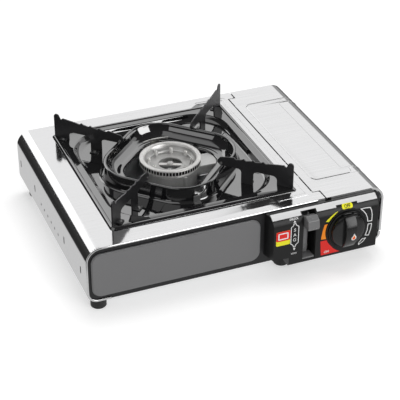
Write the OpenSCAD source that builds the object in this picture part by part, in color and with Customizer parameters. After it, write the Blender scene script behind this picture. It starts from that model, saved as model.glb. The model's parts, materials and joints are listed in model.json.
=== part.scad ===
// Portable single-burner butane stove in a folded steel case.
// Origin: on the surface the stove stands on, under the middle of its outline.
// +X is to the right of someone facing the controls, +Y is to the back, +Z is up.

/* [Case] */
// Overall width of the case
case_w = 340; // [336:1:356]
// Depth of the case, front rim to rear panel
case_d = 262; // [258:1:280]
// Height of the case without its feet
case_h = 66; // [65:1:74]
// Outside radius of the folded edges
bend_r = 12; // [9:0.5:14]
// Thickness of the sheet steel
sheet = 0.8; // [0.6:0.1:1.0]
// Thickness of the rolled front hem
hem_t = 2.4; // [2:0.1:3]
// Depth of the rolled front hem
hem_d = 2.6; // [2:0.1:4]
// Width of the shell's return under the left side
return_w = 26; // [22:1:32]

/* [Feet] */
// Height of the feet under the case
foot_h = 14; // [12:0.5:20]
// Diameter of a foot
foot_dia = 17; // [14:0.5:20]
// Distance from the case's front and back edges to a foot's centre
foot_inset_y = 13; // [11.5:0.5:20]
// Distance from the case's left side to a foot's centre
foot_inset_x = 12.5; // [11.5:0.5:20]

/* [Drip tray] */
// Distance from the drip tray's rim to the right edge of the shell's top
tray_right = 13; // [10:0.5:19]
// Depth of the drip tray over its rim
tray_d = 216; // [210:1:222]
// Distance from the case's left side to the tray's rim
tray_left = 36; // [34:0.5:38]
// Distance from the front rim to the tray's rim
tray_front = 23.5; // [21:0.5:30]
// Width of the flange from the rim to the recess
flange_w = 8.5; // [7:0.5:10]
// Depth of the tray's floor under the top panel
tray_deep = 6; // [5:0.5:8]
// Horizontal run of the recess's sloping wall
wall_run = 8; // [5:0.5:9]
// Corner radius of the recess
recess_r = 42; // [36:1:46]
// Thickness of the enamelled tray
enamel = 1; // [0.8:0.1:1.2]

/* [Wind shield] */
// Half the width of the shield's lip, across its flats
shield_half = 64; // [62:0.5:66]
// Corner radius of the shield's lip
shield_r = 41; // [36:1:44]
// Height of the lip over the top panel
shield_h = 11; // [9:0.5:12]
// Half the width of the burner opening, across its flats
opening_half = 46; // [45:0.5:48]
// Depth of the ledge around the opening, under the top panel
ledge_deep = 3; // [2:0.5:4]

/* [Pan supports] */
// Height of the pan supports over the top panel
support_h = 26; // [23:0.5:30]
// Height of the horns over the supports' top edge
horn_h = 5.5; // [4.5:0.5:9]
// Thickness of a pan support
support_t = 1.6; // [1.2:0.1:2.2]
// Distance from a pan support's tip to the tray's rim
support_in = 3; // [1.5:0.1:4]
// Number of notches in a support's top edge
notches = 4; // [3:1:5]
// Depth of the notches in the supports' top edge
notch_deep = 2; // [1:0.1:2.6]
// Distance of a support's middle post past the middle of the tray's recess
post_shift = 3; // [0:0.5:6]
// Width of a support's middle post
post_w = 14; // [11:0.5:15]
// Width of a support's outer post
outer_post_w = 18.5; // [16:0.5:20]

/* [Burner] */
// Outside diameter of the burner's ring
ring_dia = 69; // [66:0.5:72]
// Height of the ring's top over the top panel
ring_top = 8; // [7:0.5:10]
// Inside diameter of the ring
ring_bore = 58.6; // [56:0.1:59.6]
// Height of the ring
ring_h = 6; // [5:0.5:7]
// Height of the burner's body
body_h = 24; // [20:0.5:28]
// Number of flame ports
ports = 54; // [36:2:60]
// Depth of the burner's inner floor under the top panel
burner_floor = 12; // [9:0.5:14]
// Number of ribs inside the burner
ribs = 8; // [6:1:10]
// Outside diameter of the mixing tube at the burner
tube_dia = 26; // [22:1:28]

/* [Cartridge bay] */
// Width of the cartridge lid over its top
lid_w = 78.5; // [77:0.5:82]
// Gap between the lid and the top panel
lid_gap = 1.5; // [1.3:0.1:2]
// Height of the lid's side wall, from the top panel down
lid_drop = 58; // [50:1:59]
// Depth of the hinge tabs at the front and back
tab_d = 15; // [14:0.5:18]
// Distance from the lid's left edge to its hinge axis
hinge_in = 3.5; // [3.2:0.1:4]
// Depth of the hinge axis under the top panel
hinge_deep = 4; // [3.8:0.1:4.6]
// Diameter of the hinge pins
hinge_pin_dia = 3; // [2.5:0.1:3.4]
// Height of the lid's pressed panel
press_h = 0.8; // [0.4:0.1:1.2]
// Diameter of the gas cartridge that the bay takes
cartridge_dia = 66; // [64:0.5:66]
// Length of the gas cartridge that the bay takes
cartridge_len = 184; // [180:1:186]
// Inside radius of the regulator's inlet collar
collar_r = 17; // [16:0.5:18]
// Depth of the regulator's inlet collar
collar_d = 8; // [6:0.5:10]

/* [Controls] */
// Distance that the control bezel stands out from the front rim
bezel_proud = 16; // [15:0.5:18]
// Wall of the control bezel
bezel_wall = 2; // [1.6:0.1:2.6]
// Distance from the case's right side to the bezel
bezel_right = 14; // [12:0.5:15]
// Width of the control bezel
bezel_w = 128; // [125:1:130]
// Radius of the bezel's rounded top edge
bezel_round = 13; // [10:0.5:13.5]
// Width of the raised corner at the bezel's lower left
bezel_step_w = 22; // [18:1:24]
// Height of the raised corner at the bezel's lower left
bezel_step_h = 11; // [8:0.5:13]
// Depth of the bright band on the bezel's top edge
band_h = 7; // [5:0.5:8]
// Distance from the right side of the case to the knob's axis
knob_right = 53; // [50:0.5:56]
// Depth of the knob's axis under the top panel
knob_down = 33; // [31:0.5:35]
// Diameter of the knob's body
knob_dia = 41; // [38:0.5:42]
// Height of the knob in front of the bezel
knob_h = 14.4; // [12:0.1:16]
// Width of the slot for the lock lever
slot_w = 15; // [14:0.5:17]
// Distance from the right side of the case to the slot's middle
slot_right = 96.5; // [95:0.5:98]
// Swing of the lock lever, in degrees
lever_swing = 20; // [16:1:22]

/* [Hidden] */
$fn = 64;
eps = 0.01;
corner_n = 10;      // straight pieces in a rounded corner
seat = 0.1;         // gap between pieces that are fixed to each other around a bend
run_gap = 0.4;      // gap beside pieces that move
bore_gap = 0.08;    // radial gap of a pin that turns in its bore
fixed_gap = 0.02;   // radial gap of a pin or screw that is fixed in its hole
hole_gap = 0.2;     // radial gap of a screw in a hole that it only passes through

// Main places, worked out from the sizes above.
knob_gap = 0.6;
front_proud = bezel_proud + knob_gap + knob_h;
depth_all = case_d + front_proud;
front = -depth_all / 2 + front_proud;
back = front + case_d;
left = -case_w / 2;
right = case_w / 2;
bottom = foot_h;
top = foot_h + case_h;
tray_w = case_w - tray_left - tray_right - lid_w - lid_gap;
tray_x = left + tray_left + tray_w / 2;
tray_y = front + tray_front + tray_d / 2;

// Cartridge bay.
lid_x = right - lid_w;
shell_edge = lid_x - lid_gap;
hinge_x = lid_x + hinge_in;
hinge_z = top - hinge_deep;
tab_x = hinge_x + hinge_deep + 0.8;   // far enough for the lid to stand upright
bay_floor = top - sheet - cartridge_dia - 3.2;
cartridge_x = right - sheet - 7 - cartridge_dia / 2;
cartridge_z = bay_floor + sheet + 1 + cartridge_dia / 2;
wall_x = right - 95;            // partition between burner and cartridge
trough_left = right - 84;
trough_right = right - sheet - run_gap;
trough_h = 20;
trough_r = 7;

// Front plate.
plate_t = 1.2;
plate_y = front + 1;
plate_back = plate_y + plate_t;
inner_front = plate_back + 0.8;
rear_in = 1.2;                  // the rear panel's face lies this far inside the shell's edge
rear_y = back - rear_in - sheet;
inner_back = rear_y - 0.3;

// Inlay panel in the front.
inlay_in = 5.4;
inlay_gap = 5.1;                // between the inlay and the bezel
inlay_top = 7.4;
inlay_h = 52;
inlay_r = 11;
inlay_t = 3;

// Control bezel.
bezel_x = right - bezel_right - bezel_w;
bezel_draft = 4;
bezel_top = top - hem_t - 0.3;
knob_x = right - knob_right;
knob_z = top - knob_down;
bezel_face = front - bezel_proud;
spindle_r = 3;
dial_r = knob_dia / 2 + 3.6;
slot_x = right - slot_right;
slot_low = bottom + 4;
slot_high = bezel_top - 1.5;

// Lock lever and cartridge pusher.
arm_t = 2;
arm_x = wall_x + sheet + 1.5;
arm_h = 9;
pivot_y = front + 75;
pivot_z = top - 31;
pivot_r = 2.5;
crank = 19;
lever_rest = lever_swing / 2;
tail = 22;                      // the return spring pulls this far behind the pivot
tab_w = slot_w - 1.6;
tab_h = 18;
pin_r = 1.8;
pusher_t = 2;
pusher_x = arm_x + arm_t + 1;
pusher_h = 9;
pusher_travel = crank * lever_swing * PI / 180;
cartridge_front = front + 39;
cartridge_back = cartridge_front + cartridge_len;
pusher_plate_y = cartridge_back + pusher_travel + 1;
regulator_y = front + 8;
regulator_r = 22;

// Burner.
body_r = ring_dia / 2 - 4.5;
body_top = top + ring_top - ring_h;
body_bottom = body_top - body_h;
body_wall = 2.4;
inner_r = ring_bore / 2 - 5.5;
hub_r = 12.5;
bracket_t = 1.5;
pan_top = bottom + 2 * sheet;
floor_top = top - burner_floor;
tube_z = body_bottom + tube_dia / 2;
tube_top = top - 5;             // the mixing tube is flattened under the tray
elbow_x = tray_x + 58;
jet_x = wall_x + 24;
jet_y = front + 30;
jet_z = bottom + 12;
small_tube_r = 7;
tube_bend = [wall_x - 14, tray_y - 62, jet_z + 3];

// Feet: the last two stand under the lower cartridge trough.
foot_left_x = left + foot_inset_x + 3;
foot_mid_x = wall_x - 20;
foot_right_x = right - 22;
foot_y = [front + foot_inset_y, back - foot_inset_y];

// Screws.
screw_r = 1.6;
screw_head_r = 3;
screw_head_h = 1.6;

// ---------- outlines ----------

function arc(cx, cy, r, a0, a1, n = corner_n) =
    [for (i = [0:n]) [cx + r * cos(a0 + (a1 - a0) * i / n), cy + r * sin(a0 + (a1 - a0) * i / n)]];

// Rounded rectangle of half sizes a and b about the origin.
function round_rect(a, b, r) = concat(
    arc(a - r, b - r, r, 0, 90), arc(-a + r, b - r, r, 90, 180),
    arc(-a + r, -b + r, r, 180, 270), arc(a - r, -b + r, r, 270, 360));

// Rounded rectangle from corner p to corner q.
function round_box(p, q, r) =
    let (a = (q[0] - p[0]) / 2, b = (q[1] - p[1]) / 2, mid = (p + q) / 2)
    [for (v = round_rect(a, b, r)) v + mid];

// The case's left half as a strip of thickness t: return, bend, side, bend, top.
function shell_strip(t, x_end) = concat(
    [[left + return_w, bottom]],
    arc(left + bend_r, bottom + bend_r, bend_r, 270, 180),
    arc(left + bend_r, top - bend_r, bend_r, 180, 90),
    [[x_end, top], [x_end, top - t]],
    arc(left + bend_r, top - bend_r, bend_r - t, 90, 180),
    arc(left + bend_r, bottom + bend_r, bend_r - t, 180, 270),
    [[left + return_w, bottom + t]]);

// The lid as a strip of thickness t: top, bend, side wall.
function lid_strip(t, x_start, z_end) = concat(
    [[x_start, top]],
    arc(right - bend_r, top - bend_r, bend_r, 90, 0),
    [[right, z_end], [right - t, z_end]],
    arc(right - bend_r, top - bend_r, bend_r - t, 0, 90),
    [[x_start, top - t]]);

// ---------- shapes ----------

// An outline in X and Z, pulled back from y0 to y1.
module pull_y(pts, y0, y1) {
    translate([0, y1, 0]) rotate([90, 0, 0]) linear_extrude(y1 - y0) polygon(pts);
}

// An outline in Y and Z, pulled along X from x0 to x1.
module pull_x(pts, x0, x1) {
    translate([x0, 0, 0]) rotate([90, 0, 90]) linear_extrude(x1 - x0) polygon(pts);
}

module box(p, q) {
    translate(p) cube(q - p);
}

module slab(pts, z0, z1) {
    translate([0, 0, z0]) linear_extrude(z1 - z0) polygon(pts);
}

module taper(pts0, z0, pts1, z1) {
    hull() {
        slab(pts0, z0, z0 + eps);
        slab(pts1, z1 - eps, z1);
    }
}

module rod_y(x, z, r, y0, y1) {
    translate([x, y0, z]) rotate([-90, 0, 0]) cylinder(h = y1 - y0, r = r);
}

module rod_x(y, z, r, x0, x1) {
    translate([x0, y, z]) rotate([0, 90, 0]) cylinder(h = x1 - x0, r = r);
}

module rod_z(x, y, r, z0, z1, r2 = -1) {
    translate([x, y, z0]) cylinder(h = z1 - z0, r1 = r, r2 = r2 < 0 ? r : r2);
}

// A round rod or cone from p to q.
module rod(p, q, r, r2 = -1) {
    v = q - p;
    turn = atan2(v[1], v[0]);
    tilt = acos(v[2] / norm(v));
    translate(p) rotate([0, tilt, turn]) cylinder(h = norm(v), r1 = r, r2 = r2 < 0 ? r : r2);
}

// ---------- case ----------

side_holes_y = [for (i = [0:5]) front + 101 + 13.2 * i];
side_hole_r = 1.6;
side_hole_down = 42.5;
side_slots_y = [front + 19.5, front + 78, front + 191, back - 12];

function tray_hole() = [for (v = round_rect(tray_w / 2 - flange_w + 1.8, tray_d / 2 - flange_w + 1.8,
    recess_r + 1)) v + [tray_x, tray_y]];

bead_x = [shell_edge - 39, shell_edge - 6];
bead_y = [front + 14, back - 13];
bead_w = 3.4;
bead_h = 0.7;

// A bead pressed in the sheet from corner p to corner q, along one axis.
module bead(p, q) {
    half = [bead_w, bead_w] / 2;
    slab(round_box(p - half, q + half, bead_w / 2 - 0.1), top - sheet / 2, top + bead_h);
}

module outer_shell() {
    color("gainsboro") difference() {
        union() {
            pull_y(shell_strip(sheet, shell_edge), front + eps, back);
            pull_y(shell_strip(hem_t, shell_edge), front, front + hem_d);
            for (y = [[front, front + tab_d], [back - tab_d, back]])
                slab(round_box([shell_edge - 8, y[0]], [tab_x - lid_gap, y[1]], 2.5), top - sheet, top);
            box([shell_edge - 1, front, top - hem_t], [tab_x - lid_gap, front + hem_d, top]);
            // Bead beside the hinge, turned in at the front and at the back.
            bead([bead_x[1], bead_y[0]], [bead_x[1], bead_y[1]]);
            bead([bead_x[0], bead_y[0]], [bead_x[1], bead_y[0]]);
            bead([bead_x[0], bead_y[1]], [bead_x[0] + 14, bead_y[1]]);
        }
        slab(tray_hole(), top - 5, top + 5);
        // Slot in the front hem over the lever.
        box([slot_x - 6, front - 1, top - hem_t - 1], [slot_x + 6, front + hem_d - 0.8, top - 1]);
        for (y = side_holes_y) rod_x(y, top - side_hole_down, side_hole_r, left - 1, left + 2);
        for (y = side_slots_y) pull_x(round_box([y - 1.5, top - 40], [y + 1.5, top - 31], 1.4),
            left - 1, left + 2);
        for (y = foot_y) rod_z(foot_left_x, y, screw_r + hole_gap, bottom - 1, bottom + 2);
    }
}

// Rear panel, inside the shell at the left and clear of the lid at the right.
rear_low = bottom + 8;
function rear_outline() = let (in = sheet + seat, r = bend_r - in) concat(
    [[right - 3, rear_low]],
    arc(right - bend_r - 1, top - sheet - run_gap - bend_r + 2, bend_r - 2, 0, 90),
    arc(left + bend_r, top - bend_r, r, 90, 180),
    arc(left + bend_r, bottom + bend_r, r, 180, 270),
    [[trough_left - 2, bottom + in], [trough_left - 2, rear_low]]);

vent_w = 12;
vent_pitch = 20;
rivet_r = 1.5;
rivet_at = [[left + 34, bottom + 7], [tray_x, bottom + 7], [wall_x - 12, bottom + 7],
    [cartridge_x - 22, rear_low + 5], [cartridge_x + 22, rear_low + 5]];

module rear_panel() {
    color("gainsboro") difference() {
        pull_y(rear_outline(), rear_y, rear_y + sheet);
        for (i = [-5:5]) pull_y(round_box([tray_x + i * vent_pitch - vent_w / 2, top - 22],
            [tray_x + i * vent_pitch + vent_w / 2, top - 18], 1.9), rear_y - 1, back);
        for (p = rivet_at) rod_y(p[0], p[1], rivet_r + fixed_gap, rear_y - 1, back);
    }
}

module base_pan() {
    slot_l = 36;
    slot_t = 5;
    color("lightgray") difference() {
        union() {
            box([left + bend_r, inner_front, bottom + sheet], [trough_left - 0.1, inner_back, pan_top]);
            box([left + bend_r, inner_back - sheet, bottom + sheet],
                [trough_left - 3, inner_back, bottom + 12]);
        }
        for (i = [0:6], s = [-1, 1]) {
            y = front + 60 + i * 22;
            slab(round_box([tray_x + s * 62 - slot_l / 2, y], [tray_x + s * 62 + slot_l / 2, y + slot_t],
                slot_t / 2 - 0.1), bottom, bottom + 5);
        }
        for (x = [foot_left_x, foot_mid_x], y = foot_y)
            rod_z(x, y, screw_r + fixed_gap, bottom, bottom + 5);
        for (p = rivet_at) rod_y(p[0], p[1], rivet_r + fixed_gap, inner_back - 2, back);
    }
}

// ---------- front ----------

function plate_outline() = let (in = hem_t + seat, r = bend_r - in) concat(
    [[right - hem_t - 1.5, bottom + 0.3]],
    arc(right - bend_r - 1, top - hem_t - run_gap - bend_r, bend_r - 3, 0, 90),
    arc(left + bend_r, top - bend_r, r, 90, 180),
    arc(left + bend_r, bottom + bend_r, r, 180, 270),
    [[left + return_w + 0.3, bottom + in], [left + return_w + 0.3, bottom + 0.3]]);

module front_plate() {
    color([0.08, 0.08, 0.08]) difference() {
        union() {
            pull_y(plate_outline(), plate_y, plate_back);
            box([left + return_w + 4, plate_back - eps, bottom + 0.3], [trough_left - 6, inner_front + 2,
                bottom + sheet - seat]);
        }
        rod_y(knob_x, knob_z, spindle_r + 1.5, plate_y - 1, plate_back + 1);
        box([slot_x - slot_w / 2, plate_y - 1, slot_low],
            [slot_x + slot_w / 2, plate_back + 1, slot_high - 4]);
        for (x = bezel_screw_x) rod_y(x, bezel_screw_z, screw_r + hole_gap, plate_y - 1, plate_back + 1);
        for (x = regulator_screw_x)
            rod_y(x, regulator_screw_z, screw_r + hole_gap, plate_y - 1, plate_back + 1);
    }
}

module front_inlay() {
    p = [left + inlay_in, top - inlay_top - inlay_h];
    q = [bezel_x - inlay_gap, top - inlay_top];
    edge = [0.9, 0.9];
    color([0.42, 0.42, 0.42]) {
        pull_y(round_box(p, q, inlay_r), plate_y - inlay_t + 0.9, plate_y);
        pull_y(round_box(p + edge, q - edge, inlay_r - 0.9), plate_y - inlay_t,
            plate_y - inlay_t + 0.9 + eps);
    }
}

bezel_screw_x = [bezel_x + 14, right - 22];
bezel_screw_z = bottom + 26;

// Side profile of the bezel in Y and Z, kept in by w on every outer face.
function bezel_profile(w) = concat(
    [[plate_y, bottom + w], [bezel_face + w + 2, bottom + w], [bezel_face + w, bottom + w + 2]],
    arc(bezel_face + bezel_round, bezel_top - bezel_round, bezel_round - w, 180, 90),
    [[plate_y, bezel_top - w]]);

// Plan of the bezel in X and Y: its left end has draft, its right end is nearly square.
function bezel_plan(w) = let (x1 = bezel_x + bezel_w - w) [
    [bezel_x + w, plate_y + 1], [bezel_x + w, plate_y], [bezel_x + bezel_draft + w, bezel_face - 1],
    [x1 - 1, bezel_face - 1], [x1, plate_y], [x1, plate_y + 1]];

module bezel_block(w) {
    intersection() {
        pull_x(bezel_profile(w), bezel_x, bezel_x + bezel_w);
        slab(bezel_plan(w), bottom - 1, top + 1);
    }
}

module control_bezel() {
    chan = 1.5;
    s0 = slot_x - slot_w / 2;
    s1 = slot_x + slot_w / 2;
    step_x = bezel_x + bezel_step_w;
    color([0.1, 0.1, 0.1]) difference() {
        union() {
            difference() {
                bezel_block(0);
                difference() {
                    translate([0, eps, 0]) bezel_block(bezel_wall);
                    // Walls of the lever's channel, of the step and behind the dial.
                    box([s0 - chan, bezel_face - 1, bottom], [s0, plate_y + 1, top]);
                    box([s1, bezel_face - 1, bottom], [s1 + chan, plate_y + 1, top]);
                    box([bezel_x, bezel_face - 1, bottom], [step_x + chan, plate_y + 1,
                        bottom + bezel_step_h + chan]);
                    rod_y(knob_x, knob_z, spindle_r + 3, bezel_face, bezel_face + bezel_wall + 3);
                    for (x = bezel_screw_x) rod_y(x, bezel_screw_z, 4.5, bezel_face, plate_y);
                }
            }
            // Raised ring round the knob.
            difference() {
                rod_y(knob_x, knob_z, dial_r, bezel_face - 1.2, bezel_face + 1);
                rod_y(knob_x, knob_z, dial_r - 1.4, bezel_face - 2, bezel_face + 2);
            }
        }
        box([s0, bezel_face - 1, slot_low], [s1, plate_y + 1, slot_high]);
        box([bezel_x - 1, bezel_face - 2, bottom - 1], [step_x, plate_y + 1, bottom + bezel_step_h]);
        rod_y(knob_x, knob_z, spindle_r + 0.5, bezel_face - 3, plate_y + 1);
        for (x = bezel_screw_x)
            rod_y(x, bezel_screw_z, screw_r + fixed_gap, bezel_face + bezel_wall + 2, plate_y + 1);
    }
}

// Bright band over the bezel's top edge, open for the lever and notched for the dial's top mark.
band_t = 0.4;
module bezel_band() {
    s0 = slot_x - slot_w / 2 - 1.5;
    s1 = slot_x + slot_w / 2 + 1.5;
    x0 = bezel_x + bezel_draft + 1;
    x1 = bezel_x + bezel_w - 3;
    low = bezel_top - band_h;
    color("whitesmoke") difference() {
        bezel_block(-band_t);
        bezel_block(0);
        box([bezel_x - 1, bezel_face - 2, bottom - 1], [x0, plate_y + 2, top + 1]);
        box([x1, bezel_face - 2, bottom - 1], [x1 + 9, plate_y + 2, top + 1]);
        box([s0, bezel_face - 2, bottom - 1], [s1, plate_y + 2, top + 1]);
        box([x0 - 1, bezel_face - 2, bottom - 1], [x1 + 1, plate_y + 2, low - 2]);
        box([s1, bezel_face - 2, bottom - 1], [x1 + 1, plate_y + 2, low + 0.5]);
        box([knob_x - 11, bezel_face - 2, bottom - 1], [knob_x + 11, plate_y + 2, low + 3.4]);
        box([x0 - 1, front - 0.5, bottom], [x1 + 1, plate_y + 2, top + 1]);
    }
}

// Screws from inside the case into the bezel's bosses.
module bezel_screws() {
    color("silver") for (x = bezel_screw_x) {
        rod_y(x, bezel_screw_z, screw_r, plate_y - 8, plate_back + eps);
        rod_y(x, bezel_screw_z, screw_head_r, plate_back, plate_back + screw_head_h);
    }
}

// ---------- cartridge bay ----------

// Where the mixing tube passes through the partition.
function tube_point(x) = let (b = [jet_x, jet_y, jet_z], k = (x - tube_bend[0]) / (b[0] - tube_bend[0]))
    tube_bend + k * (b - tube_bend);
tube_cross = tube_point(wall_x + sheet / 2);

module partition_wall() {
    slot_y = [heat_y - heat_w / 2 - 0.4, heat_y + heat_w / 2 + 0.4];
    color("lightgray") difference() {
        union() {
            box([wall_x, inner_front + 1, pan_top], [wall_x + sheet, inner_back - sheet - seat, top - sheet]);
            box([wall_x - 10, inner_front + 1, pan_top], [wall_x + eps, inner_back - sheet - seat,
                pan_top + sheet]);
        }
        rod_x(tube_cross[1], tube_cross[2], small_tube_r + 4.5, wall_x - 2, wall_x + 3);
        rod_x(pivot_y, pivot_z, pivot_r + fixed_gap, wall_x - 1, wall_x + 2);
        for (i = [0:4]) pull_x(round_box([front + 170 + i * 14, pan_top + 14], [front + 174 + i * 14,
            pan_top + 34], 1.9), wall_x - 1, wall_x + 2);
        rod_x(lead_route[3][1], lead_route[3][2], lead_r + 3, wall_x - 1, wall_x + 2);
        box([wall_x - 1, slot_y[0], heat_z - heat_t - 0.4], [wall_x + 2, slot_y[1], heat_z + 0.4]);
        for (x = [foot_mid_x], y = foot_y) rod_z(x, y, screw_r + hole_gap, pan_top - 1, pan_top + 2);
    }
}

function trough_outer() = concat(
    [[trough_left, bottom + trough_h]],
    arc(trough_left + trough_r, bay_floor + trough_r, trough_r, 180, 270),
    arc(trough_right - trough_r, bay_floor + trough_r, trough_r, 270, 360),
    [[trough_right, bottom + trough_h]]);
function trough_inner() = concat(
    [[trough_right - sheet, bottom + trough_h + 1]],
    arc(trough_right - trough_r, bay_floor + trough_r, trough_r - sheet, 360, 270),
    arc(trough_left + trough_r, bay_floor + trough_r, trough_r - sheet, 270, 180),
    [[trough_left + sheet, bottom + trough_h + 1]]);

trough_slot_l = 44;
trough_slot_w = 5;
trough_slot_y = [for (i = [0:3]) front + 75 + i * 38];

module cartridge_trough() {
    color("lightgray") difference() {
        pull_y(trough_outer(), inner_front, inner_back);
        pull_y(trough_inner(), inner_front + sheet, inner_back - sheet);
        for (y = foot_y) rod_z(foot_right_x, y, screw_r + fixed_gap, bay_floor - 1, bay_floor + 3);
        for (y = trough_slot_y) slab(round_box([cartridge_x - trough_slot_l / 2, y],
            [cartridge_x + trough_slot_l / 2, y + trough_slot_w], trough_slot_w / 2 - 0.1),
            bay_floor - 1, bay_floor + 2);
        for (p = rivet_at) rod_y(p[0], p[1], rivet_r + fixed_gap, inner_back - 2, back);
        rod(tube_bend, [jet_x, jet_y, jet_z], small_tube_r + 1.5);
    }
}

// Two cradles that keep the cartridge central over the trough's floor.
saddle_y = [front + 62, front + 190];
saddle_w = 4;
module cartridge_saddles() {
    color([0.15, 0.15, 0.15]) for (y = saddle_y) difference() {
        box([cartridge_x - 30, y, bay_floor + sheet],
            [cartridge_x + 30, y + saddle_w, bay_floor + sheet + 16]);
        rod_y(cartridge_x, cartridge_z, cartridge_dia / 2 + 0.5, y - 1, y + saddle_w + 1);
    }
}

regulator_screw_x = [cartridge_x - 14, cartridge_x + 14];
regulator_screw_z = cartridge_z + 26;
valve_r = 8;
strap_t = 1.2;

module regulator_body() {
    nipple = [jet_x, jet_y, jet_z] + jet_back * 4;
    color("silver") difference() {
        union() {
            rod_y(cartridge_x, cartridge_z, regulator_r, regulator_y, cartridge_front - collar_d - 6);
            rod_y(cartridge_x, cartridge_z, collar_r + 2.5, regulator_y, cartridge_front);
            rod_y(knob_x, knob_z, valve_r, regulator_y, cartridge_front - collar_d - 6);
            rod_z(cartridge_x, regulator_y + 9, 8.5, cartridge_z, cartridge_z + regulator_r + 3);
            rod(nipple, nipple + jet_back * 7, 4.5);
            rod(nipple + jet_back * 6, [cartridge_x - 10, regulator_y + 9, cartridge_z - 12], 4.5);
        }
        rod_y(cartridge_x, cartridge_z, collar_r, cartridge_front - collar_d, cartridge_front + 1);
        rod_y(cartridge_x, cartridge_z, 2, cartridge_front - collar_d - 5, cartridge_front);
        rod_y(knob_x, knob_z, spindle_r + bore_gap, regulator_y - 1, regulator_y + 12);
    }
}

// Unit vector from the mixing tube's lower bend towards the jet.
jet_vector = [jet_x, jet_y, jet_z] - tube_bend;
jet_back = jet_vector / norm(jet_vector);

module regulator_cap() {
    low = cartridge_z + regulator_r + 3;
    color("goldenrod") {
        rod_z(cartridge_x, regulator_y + 9, 8.5, low, low + 2);
        rod_z(cartridge_x, regulator_y + 9, 4, low + 2 - eps, low + 3.5);
    }
}

// Strap that hangs the regulator from the front plate.
module regulator_bracket() {
    low = cartridge_z + 13;
    color("lightgray") difference() {
        union() {
            box([cartridge_x - 20, plate_back, low],
                [cartridge_x + 20, plate_back + strap_t, cartridge_z + 30]);
            box([cartridge_x - 11, plate_back, low], [cartridge_x + 11, regulator_y, low + strap_t]);
        }
        for (x = regulator_screw_x)
            rod_y(x, regulator_screw_z, screw_r + fixed_gap, plate_back - 1, plate_back + 3);
    }
}

module regulator_screws() {
    color("silver") for (x = regulator_screw_x) {
        rod_y(x, regulator_screw_z, screw_r, plate_y - eps, plate_back + strap_t + 2);
        rod_y(x, regulator_screw_z, screw_head_r, plate_y - screw_head_h, plate_y);
    }
}

module gas_jet() {
    p = [jet_x, jet_y, jet_z];
    color("gold") {
        rod(p - jet_back * 1, p + jet_back * 4, 3.4);
        rod(p - jet_back * 4, p - jet_back * (1 - eps), 1.6);
    }
}

// ---------- burner ----------

module at_burner(angle = 0) {
    translate([tray_x, tray_y, 0]) rotate([0, 0, angle]) children();
}

// The body's outline for turning: the gallery's walls, the flange under the ports and the floor.
module burner_section() {
    difference() {
        union() {
            translate([inner_r, body_bottom]) square([body_r - inner_r, body_h]);
            translate([body_r - 1, body_top - 6.5]) square([2.2, 1.8]);
            translate([hub_r - 1, floor_top - 2.5]) square([inner_r - hub_r + 2, 2.5]);
        }
        translate([inner_r + body_wall, body_bottom + 3])
            square([body_r - inner_r - 2 * body_wall, body_h]);
    }
}

// Mixing tube from the burner's side to the gas jet, without its bore.
module mixing_tube() {
    elbow = [elbow_x, tray_y, tube_z];
    rod([tray_x + inner_r + 2, tray_y, tube_z], elbow, tube_dia / 2);
    translate(elbow) sphere(tube_dia / 2 + 0.3);
    rod(elbow, tube_bend, tube_dia / 2, small_tube_r);
    translate(tube_bend) rotate([90, 0, 0]) sphere(small_tube_r + 0.3);
    rod(tube_bend, [jet_x, jet_y, jet_z] - jet_back * 5, small_tube_r);
}

module burner_body() {
    port_w = 1.8;
    port_h = 2.2;
    color("silver") difference() {
        union() {
            at_burner() rotate_extrude() burner_section();
            for (i = [0:ribs - 1]) at_burner(22 + i * 360 / ribs)
                rod_z(inner_r - 0.6, 0, 1.9, floor_top - 2, body_top - 1);
            // Bar across the middle, on the pillar for the screw.
            box([tray_x - hub_r, tray_y - 3.5, floor_top - 2.5], [tray_x + hub_r, tray_y + 3.5, floor_top]);
            rod_z(tray_x, tray_y, 5, body_bottom, floor_top + 1);
            difference() {
                mixing_tube();
                rod_z(tray_x, tray_y, inner_r + 1, body_bottom - 20, body_top);
                box([tray_x, tray_y - 60, tube_top], [elbow_x + 60, tray_y + 60, tube_top + 40]);
            }
            // Vertical rib on the outer wall.
            at_burner(-78) rod_z(body_r, 0, 2.2, body_bottom, body_top - 6);
        }
        for (i = [0:ports - 1]) at_burner(i * 360 / ports)
            translate([body_r - body_wall - 1, -port_w / 2, body_top - port_h - 1.1])
                cube([body_wall + 2, port_w, port_h]);
        for (i = [0:ribs - 1]) at_burner(22 + i * 360 / ribs)
            rod_z(inner_r - 0.9, 0, 0.8, body_top - 4, body_top);
        rod_z(tray_x, tray_y, screw_r + fixed_gap, body_bottom - 1, floor_top + 2);
        rod(tube_bend + jet_back * 8, [jet_x, jet_y, jet_z], small_tube_r - 2);
    }
}

module burner_ring() {
    r0 = ring_bore / 2;
    r1 = ring_dia / 2;
    z0 = body_top;
    z1 = top + ring_top;
    cut = 1.6;
    color([0.86, 0.85, 0.8]) translate([tray_x, tray_y, 0]) rotate_extrude() polygon(concat(
        [[inner_r, z0], [r1 - cut, z0]],
        arc(r1 - cut, z0 + cut, cut, -90, 0, 5),
        arc(r1 - 2.4, z1 - 2.4, 2.4, 0, 90, 6),
        arc(r0 + 1.4, z1 - 1.4, 1.4, 90, 180, 5),
        [[r0, z0 + 2.5], [inner_r, z0 + 1.2]]));
}

module burner_screw() {
    head = floor_top + 1;
    color("gainsboro") {
        rod_z(tray_x, tray_y, screw_r, body_bottom - bracket_t - 4, head + eps);
        difference() {
            rod_z(tray_x, tray_y, 3.4, head, head + 2.4);
            box([tray_x - 4, tray_y - 0.5, head + 1.4], [tray_x + 4, tray_y + 0.5, head + 3]);
        }
    }
}

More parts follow.
